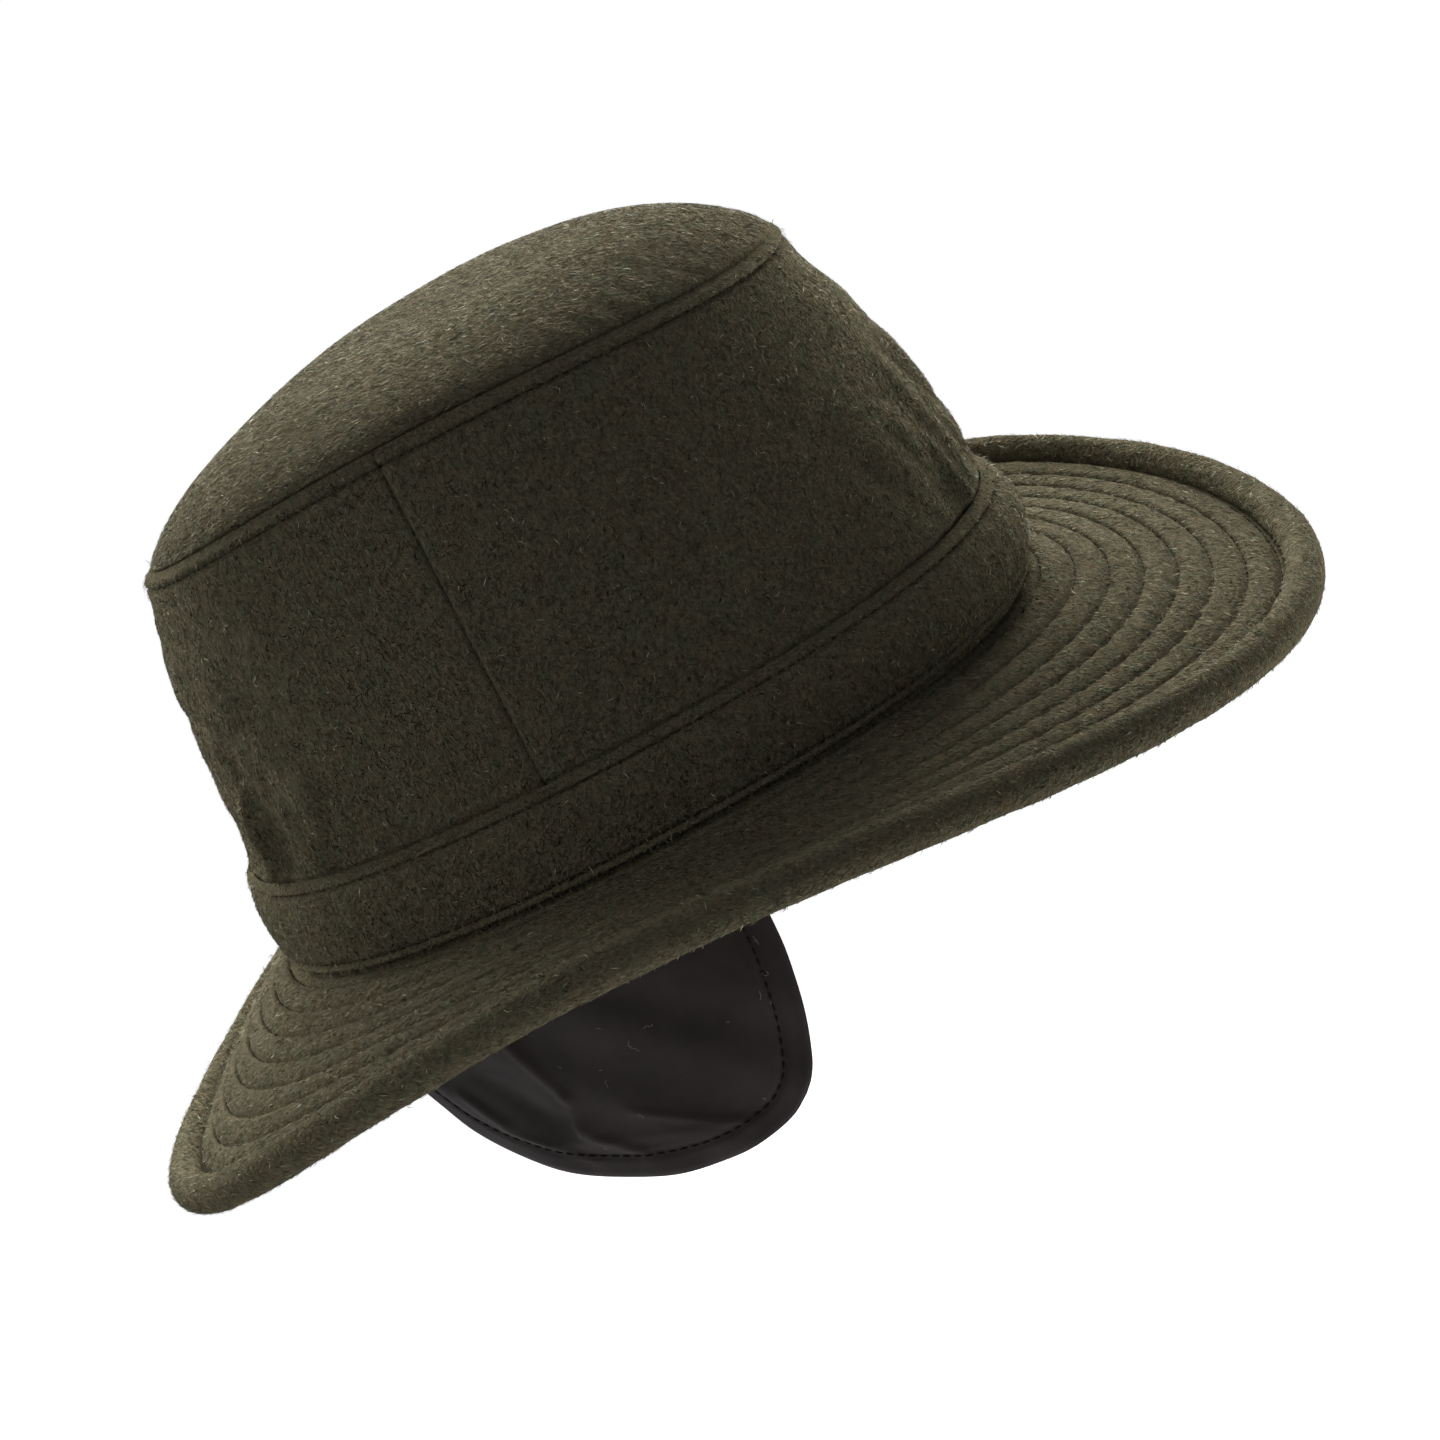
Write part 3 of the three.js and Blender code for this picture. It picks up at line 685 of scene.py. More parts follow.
# usual distances between rows, in mm
TIP_ROW, WALL_ROW, WALL_COLUMN, BAND_ROW, BRIM_ROW, BRIM_UNDER_ROW = 1.9, 1.7, 1.45, 1.8, 1.5, 2.4
NEAR_WALL_SEAM, NEAR_BAND_SEAM, NEAR_TIP_SEAM = 1.5, 0.5, 0.5  # lines of closer rows beside edges


def rows_near(length, lines, coarse, near=(0.35, 0.75, 1.3)):
    """Distances along a strip of that length, even ones and closer ones beside each line, in mm."""
    steps = max(int(round(length / coarse)), 2)
    found = list(np.linspace(0, length, steps + 1))
    for line in lines:
        found = [d for d in found if abs(d - line) > near[-1] * CLEAR_OF_LINES or d in (0, length)]
        found += [line] + [line + s * d for d in near for s in (-1, 1)]
    found = sorted(d for d in found if 0 <= d <= length)
    kept = [found[0]]
    for d in found[1:]:
        if d - kept[-1] > CLOSEST_ROWS:
            kept.append(d)
    kept[-1] = length
    return np.array(kept)


def ring(count):
    """Angles all the way round, in that many steps."""
    return np.linspace(0, TURN, count + 1)


# Relief of the cloth, in mm where it says nothing else
WALL_LENGTH = 80.0  # of the crown wall, from the band to the tip's seam
TIP_REACH = 82.0  # usual length from the middle of the tip to its seam
BAND_REACH = 26.0
BRIM_REACH = 58.0
CROWN_RADIUS = 90.0  # turns angles into lengths round the crown
SEAM_WIDTH, STITCH_WIDTH = 0.8, 0.55  # half widths of the grooves that seams and stitches make
SIDE_SEAM_DEPTH, SIDE_SEAM_WIDTH = 0.9, 0.6
FOOT_TURN = 0.7  # share of the seam turn at the lower edge of the wall and of the band
FRONT_ANGLE, FRONT_SPREAD = 5, 35  # degrees, where the tip's seam is flatter
TIP_STRIP_PUFF, TIP_STRIP_PUFF_LESS, TIP_STITCH_DEPTH = 0.65, 0.35, 1.0
WALL_PUCKER, WALL_PUCKER_REACH = 0.22, 5  # under the topstitch
FOOT_PUCKER, FOOT_PUCKER_REACH = 0.28, 6  # above the band
WALL_WAVE = 0.35
TIP_TURN, TIP_TURN_LESS = 1.6, 0.9  # times the seam turn
TIP_SINK, TIP_SINK_REACH = 0.3, 1.5
TIP_ROLL_OVER, TIP_ROLL_START, TIP_ROLL_REACH, TIP_ROLL_FAR = 2.0, 2.5, 16, 0.25
TIP_PUCKER, TIP_PUCKER_PLACE, TIP_PUCKER_REACH = 0.5, 3, 9
TIP_PUCKER_ANGLE, TIP_PUCKER_SPREAD, TIP_PUCKER_BACK = -0.25, 0.8, 0.35  # radians, and a share
TIP_WAVE = 0.3
BAND_TOP_PUFF, BAND_FOOT_PUFF, BAND_STITCH_DEPTH = 0.45, 0.4, 0.9
BAND_PUCKER, BAND_WAVE = 0.2, 0.3
DITCH_DEPTH, DITCH_WIDTH, DITCH_PLACE = 2.4, 1.5, 1.0  # between the brim and its roll


def edge_turn(distance, turn):
    """How far a cloth edge turns in, by its distance from the seam, in mm."""
    return turn * crests(distance, SEAM_WIDTH)


def seam_strip(distance, inset, puff, depth):
    """Relief of a strip beside a seam: puffed between the seam and the topstitch, sunk at the stitch."""
    inside = np.clip(distance / inset, 0, 1)
    return puff * np.sin(np.pi * inside) - depth * crests(distance - inset, STITCH_WIDTH)


def crown_cloth(t, h):
    """Crown wall with its seams, topstitch and puckers."""
    sizes = bpy.context.scene.hat_sizes
    inset, turn = sizes.tip_stitch_inset / MM, sizes.seam_turn / MM
    below = np.maximum((1 - h) * WALL_LENGTH - TIP_OVERLAP, 0)
    above = np.maximum(h * WALL_LENGTH - SEAM_OVERLAP, 0)
    at_front = crests(degrees_from(t, FRONT_ANGLE), FRONT_SPREAD)
    rise = seam_strip(below, inset, TIP_STRIP_PUFF - TIP_STRIP_PUFF_LESS * at_front, TIP_STITCH_DEPTH)
    rise = rise - edge_turn(below, turn) - edge_turn(above, FOOT_TURN * turn)
    pucker = WALL_PUCKER * unevenness(t, seed=11, fewest=50, most=90)
    rise = rise + pucker * crests(below - inset, WALL_PUCKER_REACH)
    pucker = FOOT_PUCKER * unevenness(t, seed=12, fewest=40, most=85)
    rise = rise + pucker * crests(above, FOOT_PUCKER_REACH)
    # slow waves of a soft wall
    return rise + WALL_WAVE * unevenness(t + h * 0.8, seed=13, fewest=5, most=16) * np.sin(np.pi * h)


def tip_cloth(t, share):
    """The tip, which rolls over to its seam and has puckers beside it."""
    sizes = bpy.context.scene.hat_sizes
    t, share = np.broadcast_arrays(t, share)
    from_edge = (1 - share) * TIP_REACH
    p = tip_surface(t, share)
    small, pole = 0.01, 0.02
    ringed = np.maximum(share, pole)
    round_ = tip_surface(t + small, ringed) - tip_surface(t - small, ringed)
    inner = tip_surface(t, share + small) - tip_surface(t, share - small)
    normal = np.where((share < pole)[..., None], at(0, 0, 1.0), unit(np.cross(inner, round_)))
    at_front = crests(degrees_from(t, FRONT_ANGLE), FRONT_SPREAD)
    turned_in = (TIP_TURN - TIP_TURN_LESS * at_front) * edge_turn(from_edge, sizes.seam_turn / MM)
    rise = -TIP_SINK * crests(from_edge, TIP_SINK_REACH)
    # along the sides it rolls over to the seam like a pillow, mostly on the near side
    roll_over = (1 - np.exp(-from_edge / TIP_ROLL_START)) * crests(from_edge, TIP_ROLL_REACH)
    near = np.where(np.sin(t) < 0, 1.0, TIP_ROLL_FAR)
    rise = rise + TIP_ROLL_OVER * near * np.sin(t) ** 2 * roll_over
    # the back of the tip is a little hollow
    middle, spread, deep, reach, depth = TIP_HOLLOW
    rise = rise - depth * crests(degrees_from(t, middle), spread) * crests(share - deep, reach)
    # puckers run in from the seam, most at the front
    front = crests(angle_from(t, TIP_PUCKER_ANGLE), TIP_PUCKER_SPREAD)
    pucker = TIP_PUCKER * (TIP_PUCKER_BACK + (1 - TIP_PUCKER_BACK) * front)
    pucker = pucker * unevenness(t, seed=21, fewest=38, most=70)
    rise = rise + pucker * crests(from_edge - TIP_PUCKER_PLACE, TIP_PUCKER_REACH)
    wave = TIP_WAVE * unevenness(t, seed=22, fewest=4, most=11)
    rise = rise + wave * share**2 * (1 - share**8)
    return p + by(rise, normal) - by(turned_in, outward(t))


def crown_panel(name, first, last):
    """One side of the crown wall, from side seam to side seam."""
    sizes = bpy.context.scene.hat_sizes
    overlap = SEAM_GAP / 4 / BAND_TOP_HALF_LENGTH
    start, end = math.radians(first) - overlap, math.radians(last) + overlap
    arc, seam = (end - start) * CROWN_RADIUS, SIDE_SEAM_WIDTH
    columns = start + rows_near(arc, (seam, arc - seam), WALL_COLUMN, near=(0.3,)) / CROWN_RADIUS
    stitch = WALL_LENGTH - TIP_OVERLAP - sizes.tip_stitch_inset / MM
    lines = (NEAR_WALL_SEAM, WALL_LENGTH - NEAR_WALL_SEAM, stitch)
    rows = rows_near(WALL_LENGTH, lines, WALL_ROW)

    def surface(t, h):
        # the side seam is a fine line, so its edges turn in less
        side = np.minimum(t - start, end - t) * CROWN_RADIUS
        rise = crown_cloth(t, h) - SIDE_SEAM_DEPTH * crests(side, SIDE_SEAM_WIDTH)
        return crown_wall(t, h) + by(rise, outward(t))

    obj = lay_grid(name, columns, rows / WALL_LENGTH, surface, closed=False)
    keep_ground(obj)
    give_wall(obj, sizes.wool_wall)
    return obj


class HAT_OT_crown_tip(bpy.types.Operator):
    """Makes the domed oval piece on top of the crown"""

    bl_idname = "winter_hat.crown_tip"
    bl_label = "Crown tip"

    def execute(self, context):
        sizes = context.scene.hat_sizes
        rows = 1 - rows_near(TIP_REACH, (NEAR_TIP_SEAM,), TIP_ROW) / TIP_REACH
        obj = lay_grid("crown_tip_wool", ring(TIP_COLUMNS), rows, tip_cloth)
        keep_ground(obj)
        give_wall(obj, sizes.wool_wall)
        dress(obj, laid_wool(), "wool_melton", "crown_tip")
        return {"FINISHED"}


class HAT_OT_crown_panels(bpy.types.Operator):
    """Makes the front and the back panel of the crown wall"""

    bl_idname = "winter_hat.crown_panels"
    bl_label = "Crown panels"

    def execute(self, context):
        edge = 90 + SIDE_SEAM_BACK
        for name, node_name, first, last in (
            ("crown_front_wool", "crown_front_panel", -edge, edge),
            ("crown_back_wool", "crown_back_panel", edge, 360 - edge),
        ):
            dress(crown_panel(name, first, last), wall_wool(), "wool_melton", node_name)
        return {"FINISHED"}


def band_cloth(t, v):
    sizes = bpy.context.scene.hat_sizes
    inset, turn = sizes.band_stitch_inset / MM, sizes.seam_turn / MM
    above, below = np.maximum(v * BAND_REACH - SEAM_OVERLAP, 0), (1 - v) * BAND_REACH
    rise = seam_strip(below, inset, BAND_TOP_PUFF, BAND_STITCH_DEPTH)
    rise = rise + seam_strip(above, inset, BAND_FOOT_PUFF, BAND_STITCH_DEPTH)
    rise = rise - edge_turn(below, turn) - edge_turn(above, FOOT_TURN * turn)
    rise = rise + BAND_PUCKER * unevenness(t, seed=31, fewest=45, most=90) * np.sin(np.pi * v) ** 0.5
    rise = rise + BAND_WAVE * unevenness(t, seed=32, fewest=6, most=18) * np.sin(np.pi * v)
    return band_wall(t, v) + by(rise, outward(t))


class HAT_OT_band(bpy.types.Operator):
    """Makes the wool band round the foot of the crown"""

    bl_idname = "winter_hat.band"
    bl_label = "Hat band"

    def execute(self, context):
        sizes = context.scene.hat_sizes
        inset = sizes.band_stitch_inset / MM
        rows = rows_near(BAND_REACH, (
            NEAR_WALL_SEAM, SEAM_OVERLAP + inset, BAND_REACH - inset, BAND_REACH - NEAR_BAND_SEAM), BAND_ROW)
        obj = lay_grid("hat_band_wool", ring(BAND_COLUMNS), rows / BAND_REACH, band_cloth)
        keep_ground(obj)
        give_wall(obj, sizes.wool_wall)
        dress(obj, wall_wool(), "wool_melton", "hat_band")
        return {"FINISHED"}


# Relief of the brim, the roll and the flap, in mm where it says nothing else
QUILT_PILLOW, QUILT_GROOVE, QUILT_GROOVE_WIDTH = 1.7, 1.15, 0.42
QUILT_TUG, QUILT_TUG_CHANGE = 0.75, 0.35  # shares of the row depth
QUILT_PUCKER, BRIM_WAVE = 0.16, 0.25
BRIM_EDGE_TURN, BRIM_TUCK, BRIM_OUTER_GAP = 0.5, 2.2, 0.4
BRIM_TUCK_REACH, BRIM_GAP_FROM = 0.01, 0.93  # mm, and a share of the way out
BRIM_UNDER_RELIEF = 0.8  # share of the relief on top
ROLL_LUMP, ROLL_SEAM_DEPTH, ROLL_SEAM_SPREAD = 0.16, 0.25, 0.5
HEM_STEP, HEM_GROOVE, HEM_GROOVE_WIDTH, HEM_EDGE, HEM_EDGE_WIDTH = 0.1, 0.35, 0.8, 0.4, 0.6
FLAP_WAVE = 0.35
FLAP_MM_PER_DEGREE = 1.62
EDGE_POINTS, HEM_POINTS = 160, 700  # of the flap's outline


def brim_row_shares():
    """Places of the rows of quilting, as shares of the way out to the roll."""
    rows = bpy.context.scene.hat_sizes.brim_rows
    step = BRIM_ROW_STEP * BRIM_STEPS / max(rows - 1, 1)
    return BRIM_FIRST_ROW + step * np.arange(rows)


def brim_relief(t, w, seed):
    """Quilting: sunk along each stitched row and puffed between, with small puckers."""
    sizes = bpy.context.scene.hat_sizes
    shares = brim_row_shares()
    depth = sizes.brim_row_depth / MM
    nearest = np.min(np.abs(w[..., None] - shares), axis=-1) * BRIM_REACH
    row = np.argmin(np.abs(w[..., None] - shares), axis=-1)
    pillow = 1 - crests(nearest, QUILT_PILLOW)
    tug = QUILT_TUG + QUILT_TUG_CHANGE * unevenness(t + 0.7 * row, seed, fewest=55, most=110)
    rise = -depth * (1 - pillow) * tug - QUILT_GROOVE * crests(nearest, QUILT_GROOVE_WIDTH)
    rise = rise + QUILT_PUCKER * unevenness(t - 0.4 * row, seed + 1, fewest=60, most=120) * pillow
    return rise + BRIM_WAVE * unevenness(t + w, seed + 2, fewest=5, most=14) * np.sin(np.pi * w)


def brim_cloth(t, place):
    """place runs from the roll inwards over the top, 0 to 1, and outwards underneath, 2 to 3."""
    t, place = np.broadcast_arrays(t, place)
    top = place <= 1.0
    w = np.where(top, 1 - place, place - 2)
    under = brim_top(t, w) - at(0, 0, BRIM_WALL)
    ditch = DITCH_DEPTH * crests((1 - w) * BRIM_REACH - DITCH_PLACE, DITCH_WIDTH)
    turned_in = edge_turn(w * BRIM_REACH, BRIM_EDGE_TURN)
    upper = brim_top(t, w) + at(0, 0, brim_relief(t, w, seed=41) - turned_in - ditch)
    lower = under - at(0, 0, brim_relief(t, w, seed=45) * BRIM_UNDER_RELIEF)
    # the inner edge is tucked in under the band
    inner = crests(w * BRIM_REACH, BRIM_TUCK_REACH)
    lower = lower - by(BRIM_TUCK * inner, outward(t))
    upper = upper - by(BRIM_TUCK * inner, outward(t))
    # the outer edge keeps clear of the roll
    outer = smooth_step(w, BRIM_GAP_FROM, 1.0)
    lower = lower - by(BRIM_OUTER_GAP * outer, outward(t))
    return np.where(top[..., None], upper, lower)


class HAT_OT_brim(bpy.types.Operator):
    """Makes the quilted brim with its rows of stitching on both faces"""

    bl_idname = "winter_hat.brim"
    bl_label = "Brim"

    def execute(self, context):
        lines = brim_row_shares() * BRIM_REACH
        ditch = BRIM_REACH - DITCH_PLACE
        top = rows_near(BRIM_REACH, (*lines, ditch), BRIM_ROW, near=(0.4, 0.9)) / BRIM_REACH
        under = rows_near(BRIM_REACH, lines, BRIM_UNDER_ROW, near=(0.7,)) / BRIM_REACH
        rows = np.concatenate([1 - top[::-1], 2 + under, [0.0]])
        obj = lay_grid("brim_wool", ring(BRIM_COLUMNS), rows, brim_cloth)
        keep_ground(obj)
        only(obj)
        bpy.ops.object.shade_smooth_by_angle(angle=SMOOTH_ANGLE)
        dress(obj, laid_wool(), "wool_melton", "brim")
        return {"FINISHED"}


def roll_frame(t):
    """Directions out of and over the roll's middle, at right angles to it."""
    small = 0.01
    along = unit(roll_middle(t + small) - roll_middle(t - small))
    out = outward(t, BRIM_HALF_LENGTH, BRIM_HALF_WIDTH)
    return out, unit(np.cross(out, along))


def roll_cloth(t, angle):
    """The roll: a soft cord in a sleeve of wool, slightly lumpy, sunk where it is sewn to the brim."""
    t, angle = np.broadcast_arrays(t, angle)
    out, over = roll_frame(t)
    radius = ROLL_RADIUS - ROLL_SLIMMER * crests(degrees_from(t, ROLL_DIP_ANGLE), ROLL_SLIMMER_SPREAD)
    radius = radius + ROLL_LUMP * unevenness(t + 0.35 * np.sin(angle), seed=51, fewest=24, most=60)
    radius = radius + ROLL_LUMP * unevenness(t - 0.2 * np.cos(angle), seed=52, fewest=8, most=20)
    radius = radius - ROLL_SEAM_DEPTH * crests(angle_from(angle, math.pi), ROLL_SEAM_SPREAD)
    return roll_middle(t) + by(radius * np.cos(angle), out) + by(radius * np.sin(angle), over)


class HAT_OT_edge_roll(bpy.types.Operator):
    """Makes the padded roll round the edge of the brim"""

    bl_idname = "winter_hat.edge_roll"
    bl_label = "Brim edge roll"

    def execute(self, context):
        obj = lay_grid("brim_roll_wool", ring(ROLL_COLUMNS), ring(ROLL_AROUND), roll_cloth)
        keep_ground(obj)
        dress(obj, laid_wool(), "wool_melton", "brim_edge_roll")
        return {"FINISHED"}


def flap_outline():
    """The flap's free edge in the plane, as mm round the back and height."""
    v = np.linspace(0, 1, EDGE_POINTS)
    u = np.linspace(1, -1, HEM_POINTS)
    us = np.concatenate([np.full(EDGE_POINTS - 1, 1.0), u, np.full(EDGE_POINTS - 1, -1.0)])
    vs = np.concatenate([v[:-1], np.full(HEM_POINTS, 1.0), v[::-1][1:]])
    side, from_back, z = flap_place(us, vs)
    return np.stack([side * from_back * FLAP_MM_PER_DEGREE, z], -1)


def edge_distance(x, z, outline):
    """How far points are from the outline, by its straight pieces."""
    best = np.full(np.shape(x), np.inf)
    corners = outline[::3]
    for (x1, z1), (x2, z2) in zip(corners[:-1], corners[1:]):
        run, rise = x2 - x1, z2 - z1
        share = np.clip(((x - x1) * run + (z - z1) * rise) / (run * run + rise * rise), 0, 1)
        best = np.minimum(best, np.hypot(x - x1 - share * run, z - z1 - share * rise))
    return best


def flap_cloth_at(side, from_back, z, to_edge):
    """The flap with its folded hem, which stands a little proud of the stitch, and its slight waves."""
    sizes = bpy.context.scene.hat_sizes
    wall, inset = sizes.flap_wall / MM, sizes.flap_stitch_inset / MM
    t = np.pi + side * np.radians(from_back)
    rise = HEM_STEP * smooth_step(inset - to_edge, -0.2, 0.8)
    rise = rise - HEM_GROOVE * crests(to_edge - inset, HEM_GROOVE_WIDTH)
    rise = rise - HEM_EDGE * crests(to_edge, HEM_EDGE_WIDTH)
    wave = FLAP_WAVE * unevenness(t * 3 + z * 0.03, seed=61, fewest=5, most=12)
    rise = rise + wave * smooth_step(-z, *FLAP_WAVES_BEGIN)
    rise = rise + fold_rise(FLAP_CREASES, from_back, z, FLAP_FOLD_SCALE, FLAP_CREASE_END, turn=0)
    return flap_at(side, from_back, z, wall) + by(rise, outward(t))


class HAT_OT_flap(bpy.types.Operator):
    """Makes the ear and neck flap that hangs from inside the band"""

    bl_idname = "winter_hat.flap"
    bl_label = "Ear and neck flap"

    def execute(self, context):
        sizes = context.scene.hat_sizes
        outline = flap_outline()

        def surface(u, v):
            side, from_back, z = flap_place(u, v)
            to_edge = edge_distance(side * from_back * FLAP_MM_PER_DEGREE, z, outline)
            return flap_cloth_at(side, from_back, z, to_edge)

        obj = lay_grid("ear_neck_flap_cloth", np.linspace(-1, 1, FLAP_COLUMNS),
                       np.linspace(1, 0, FLAP_ROWS), surface, closed=False)
        keep_ground(obj)
        give_wall(obj, sizes.flap_wall)
        dress(obj, flap_cloth(), "flap_cloth", "ear_neck_flap")
        return {"FINISHED"}


# Stitching
STITCH_SHARE = 0.39  # half of a stitch, as a share of the pitch
STITCH_DIP = 0.6  # of its thickness, at both ends
CROWN_LIFT, QUILT_LIFT, HEM_LIFT = 0.05, 0.2, 0.28  # mm from the cloth to the middle of the thread
HEM_CLEAR = 0.35  # mm by which a stitch may be too near the flap's edge before it is left out
ROUND_POINTS, UP_POINTS = 2400, 300  # of the lines that are sewn round the hat and up its wall


def one_stitch():
    """Points and faces of a single stitch, one unit long and one across."""
    start_fresh()
    bpy.ops.mesh.primitive_uv_sphere_add(segments=5, ring_count=3, radius=0.5)
    obj = bpy.context.object
    bpy.ops.object.mode_set(mode="EDIT")
    bpy.ops.mesh.select_all(action="SELECT")
    bpy.ops.transform.rotate(value=math.pi / 2, orient_axis="Y", center_override=(0, 0, 0))
    bpy.ops.mesh.quads_convert_to_tris()
    bpy.ops.object.mode_set(mode="OBJECT")
    points = np.array([v.co for v in obj.data.vertices])
    faces = np.array([tuple(f.vertices) for f in obj.data.polygons])
    bpy.data.objects.remove(obj)
    return points, faces


def stitch_run(path, normals, length, thickness):
    """Places of the stitches along a path of close points, in mm."""
    steps = np.linalg.norm(np.diff(path, axis=0), axis=1)
    run = np.concatenate([[0], np.cumsum(steps)])
    count = max(int(run[-1] / length), 1)
    pitch = run[-1] / count
    middles = (np.arange(count) + 0.5) * pitch

    def pick(array, s):
        return np.stack([np.interp(s, run, array[:, k]) for k in range(3)], -1)

    half = STITCH_SHARE * pitch
    ends = pick(path, middles + half) - pick(path, middles - half)
    reach = np.linalg.norm(ends, axis=1, keepdims=True)
    along = ends / reach
    up = pick(normals, middles)
    side = unit(np.cross(up, along))
    up = np.cross(along, side)
    return pick(path, middles), along * reach, side * thickness, up * thickness


def sew(name, runs):
    """All stitches of some lines as one piece."""
    SEWN.extend(path for path, _ in runs)
    sizes = bpy.context.scene.hat_sizes
    shape, faces = one_stitch()
    places = [stitch_run(*run, sizes.stitch_length / MM, sizes.thread / MM) for run in runs]
    middle, along, side, up = (np.concatenate(parts) for parts in zip(*places))
    # a stitch dives at both ends
    dip = -STITCH_DIP * (2 * shape[:, 0]) ** 2
    points = (
        middle[:, None] + shape[None, :, 0, None] * along[:, None]
        + shape[None, :, 1, None] * side[:, None] + (shape[:, 2] + dip)[None, :, None] * up[:, None]
    ) * MM
    offsets = np.arange(len(middle)) * len(shape)
    all_faces = (faces[None] + offsets[:, None, None]).reshape(-1, 3)
    obj = joined_mesh(name, points.reshape(-1, 3), all_faces)
    material = plain_thread("polyester_thread", bpy.context.scene.hat_colours.thread)
    return dress(obj, material, "wool_melton")


def line_on(surface, t, share, lift=CROWN_LIFT):
    """Path and normals of a stitched line at one share of a surface, in mm."""
    shares = np.full_like(t, share)
    small = 0.004
    path = surface(t, shares)
    across = surface(t, shares + small) - surface(t, shares - small)
    along = np.gradient(path, axis=0)
    normals = unit(np.cross(along, across))
    return path + lift * normals, normals


class HAT_OT_stitches(bpy.types.Operator):
    """Sews the topstitches of the crown, the band, the brim and the flap"""

    bl_idname = "winter_hat.stitches"
    bl_label = "Stitches"

    def execute(self, context):
        sizes = context.scene.hat_sizes
        t = np.linspace(0, TURN, ROUND_POINTS)

        def wall(angle, h):
            return crown_wall(angle, h) + by(crown_cloth(angle, h), outward(angle))

        inset = (sizes.tip_stitch_inset / MM + TIP_OVERLAP) / WALL_LENGTH
        sew("crown_topstitch", [line_on(wall, t, 1 - inset)])
        inset = sizes.band_stitch_inset / MM
        low, high = (SEAM_OVERLAP + inset) / BAND_REACH, 1 - inset / BAND_REACH
        sew("band_topstitches", [line_on(band_cloth, t, low), line_on(band_cloth, t, high)])

        def upper(angle, w):
            return brim_cloth(angle, 1 - w)

        def lower(angle, w):
            return brim_cloth(angle, 2 + w)

        # on top of the brim these normals point down, into the cloth
        above = [line_on(upper, t, w, -QUILT_LIFT) for w in brim_row_shares()]
        sew("brim_quilting_top", [(p, -n) for p, n in above])
        sew("brim_quilting_under", [line_on(lower, t, w) for w in brim_row_shares()])

        # seams without a topstitch are bare of nap too
        SEWN.append(tip_surface(t, 1.0))
        for from_edge in (0.0, 0.5):
            SEWN.append(tip_cloth(t, 1 - from_edge / TIP_REACH))
            SEWN.append(wall(t, 1 - (TIP_OVERLAP + from_edge) / WALL_LENGTH))
            SEWN.append(wall(t, (SEAM_OVERLAP + from_edge) / WALL_LENGTH))
        SEWN.append(crown_wall(t, SEAM_OVERLAP / WALL_LENGTH))
        SEWN.extend(band_wall(t, end) for end in (0.0, 1.0))
        up = np.linspace(0, 1, UP_POINTS)
        for side in (-1, 1):
            SEWN.append(wall(math.radians(side * (90 + SIDE_SEAM_BACK)), up))

        # the flap's stitch follows its free edge
        outline = flap_outline()
        along = unit(np.gradient(outline, axis=0))
        inward = np.stack([along[:, 1], -along[:, 0]], -1)
        inset = sizes.flap_stitch_inset / MM
        line = outline + inset * inward
        clear = edge_distance(line[:, 0], line[:, 1], outline) > inset - HEM_CLEAR
        line = line[clear]
        side = np.where(line[:, 0] < 0, -1.0, 1.0)
        from_back = np.abs(line[:, 0]) / FLAP_MM_PER_DEGREE
        out = outward(np.pi + side * np.radians(from_back))
        path = flap_cloth_at(side, from_back, line[:, 1], inset) + HEM_LIFT * out
        sew("flap_edge_stitch", [(path, out)])
        return {"FINISHED"}


# Nap
NAP = (
    # piece, fibres, the way the nap is laid, spread in degrees, share underneath
    ("crown_tip_wool", 40000, (-1.0, 0.1, 0.1), 30, 1.0),
    ("crown_front_wool", 37000, (-0.2, 0.0, -1.0), 60, 1.0),
    ("crown_back_wool", 36000, (0.2, 0.0, -1.0), 60, 1.0),
    ("hat_band_wool", 24000, (-0.3, 0.0, -1.0), 60, 1.0),
    ("brim_wool", 62000, (-1.0, 0.1, 0.1), 30, 0.12),
    ("brim_roll_wool", 36000, (-1.0, 0.2, 0.3), 40, 1.0),
)
NAP_SEED, LINT_SEED = 100, 95
NAP_SPARE = 1.5  # fibres drawn for each one wanted, as those on seams are left out
NAP_LENGTHS, NAP_WIDTHS = (0.5, 1.5), (0.6, 1.3)  # shares of the usual ones
NAP_SINK, NAP_MIDDLE, NAP_TIP = 0.05, (0.02, 0.22), (-0.05, 0.34)  # mm below and above the cloth
NAP_BEND, NAP_ROLL, NAP_ROUNDNESS = 0.14, 0.25, 1.1
STRAY_SHARE = 0.02
STRAY_LENGTH, STRAY_WIDTH, STRAY_MIDDLE, STRAY_TIP = 1.9, 0.7, 2.2, 2.6  # times the others
BARE_CELL, BARE_MARGIN = 0.4, 0.42  # mm
CELLS = 4000  # to each side of the space that is counted in cells


def cell_of(points):
    """A number for the small cube of space that each point, in mm, is in."""
    x, y, z = np.floor(points / BARE_CELL).astype(int).T + CELLS // 2
    return (x * CELLS + y) * CELLS + z


def bare_cells():
    """The small cubes along all seams and stitched lines."""
    points = np.concatenate(SEWN)
    steps = np.array([-BARE_MARGIN, 0.0, BARE_MARGIN])
    around = np.stack(np.meshgrid(steps, steps, steps), -1).reshape(-1, 3)
    return np.unique(cell_of((points[:, None] + around).reshape(-1, 3)))


def ground_of(name):
    """Corners of the faces that fibres lie on, and a normal of each that is as long as its area."""
    if name not in NAP_GROUND:
        raise RuntimeError(f"{name} has to be made before what lies on it")
    points, quads = NAP_GROUND[name]
    corners = points[quads]
    return corners, np.cross(corners[:, 2] - corners[:, 0], corners[:, 3] - corners[:, 1])


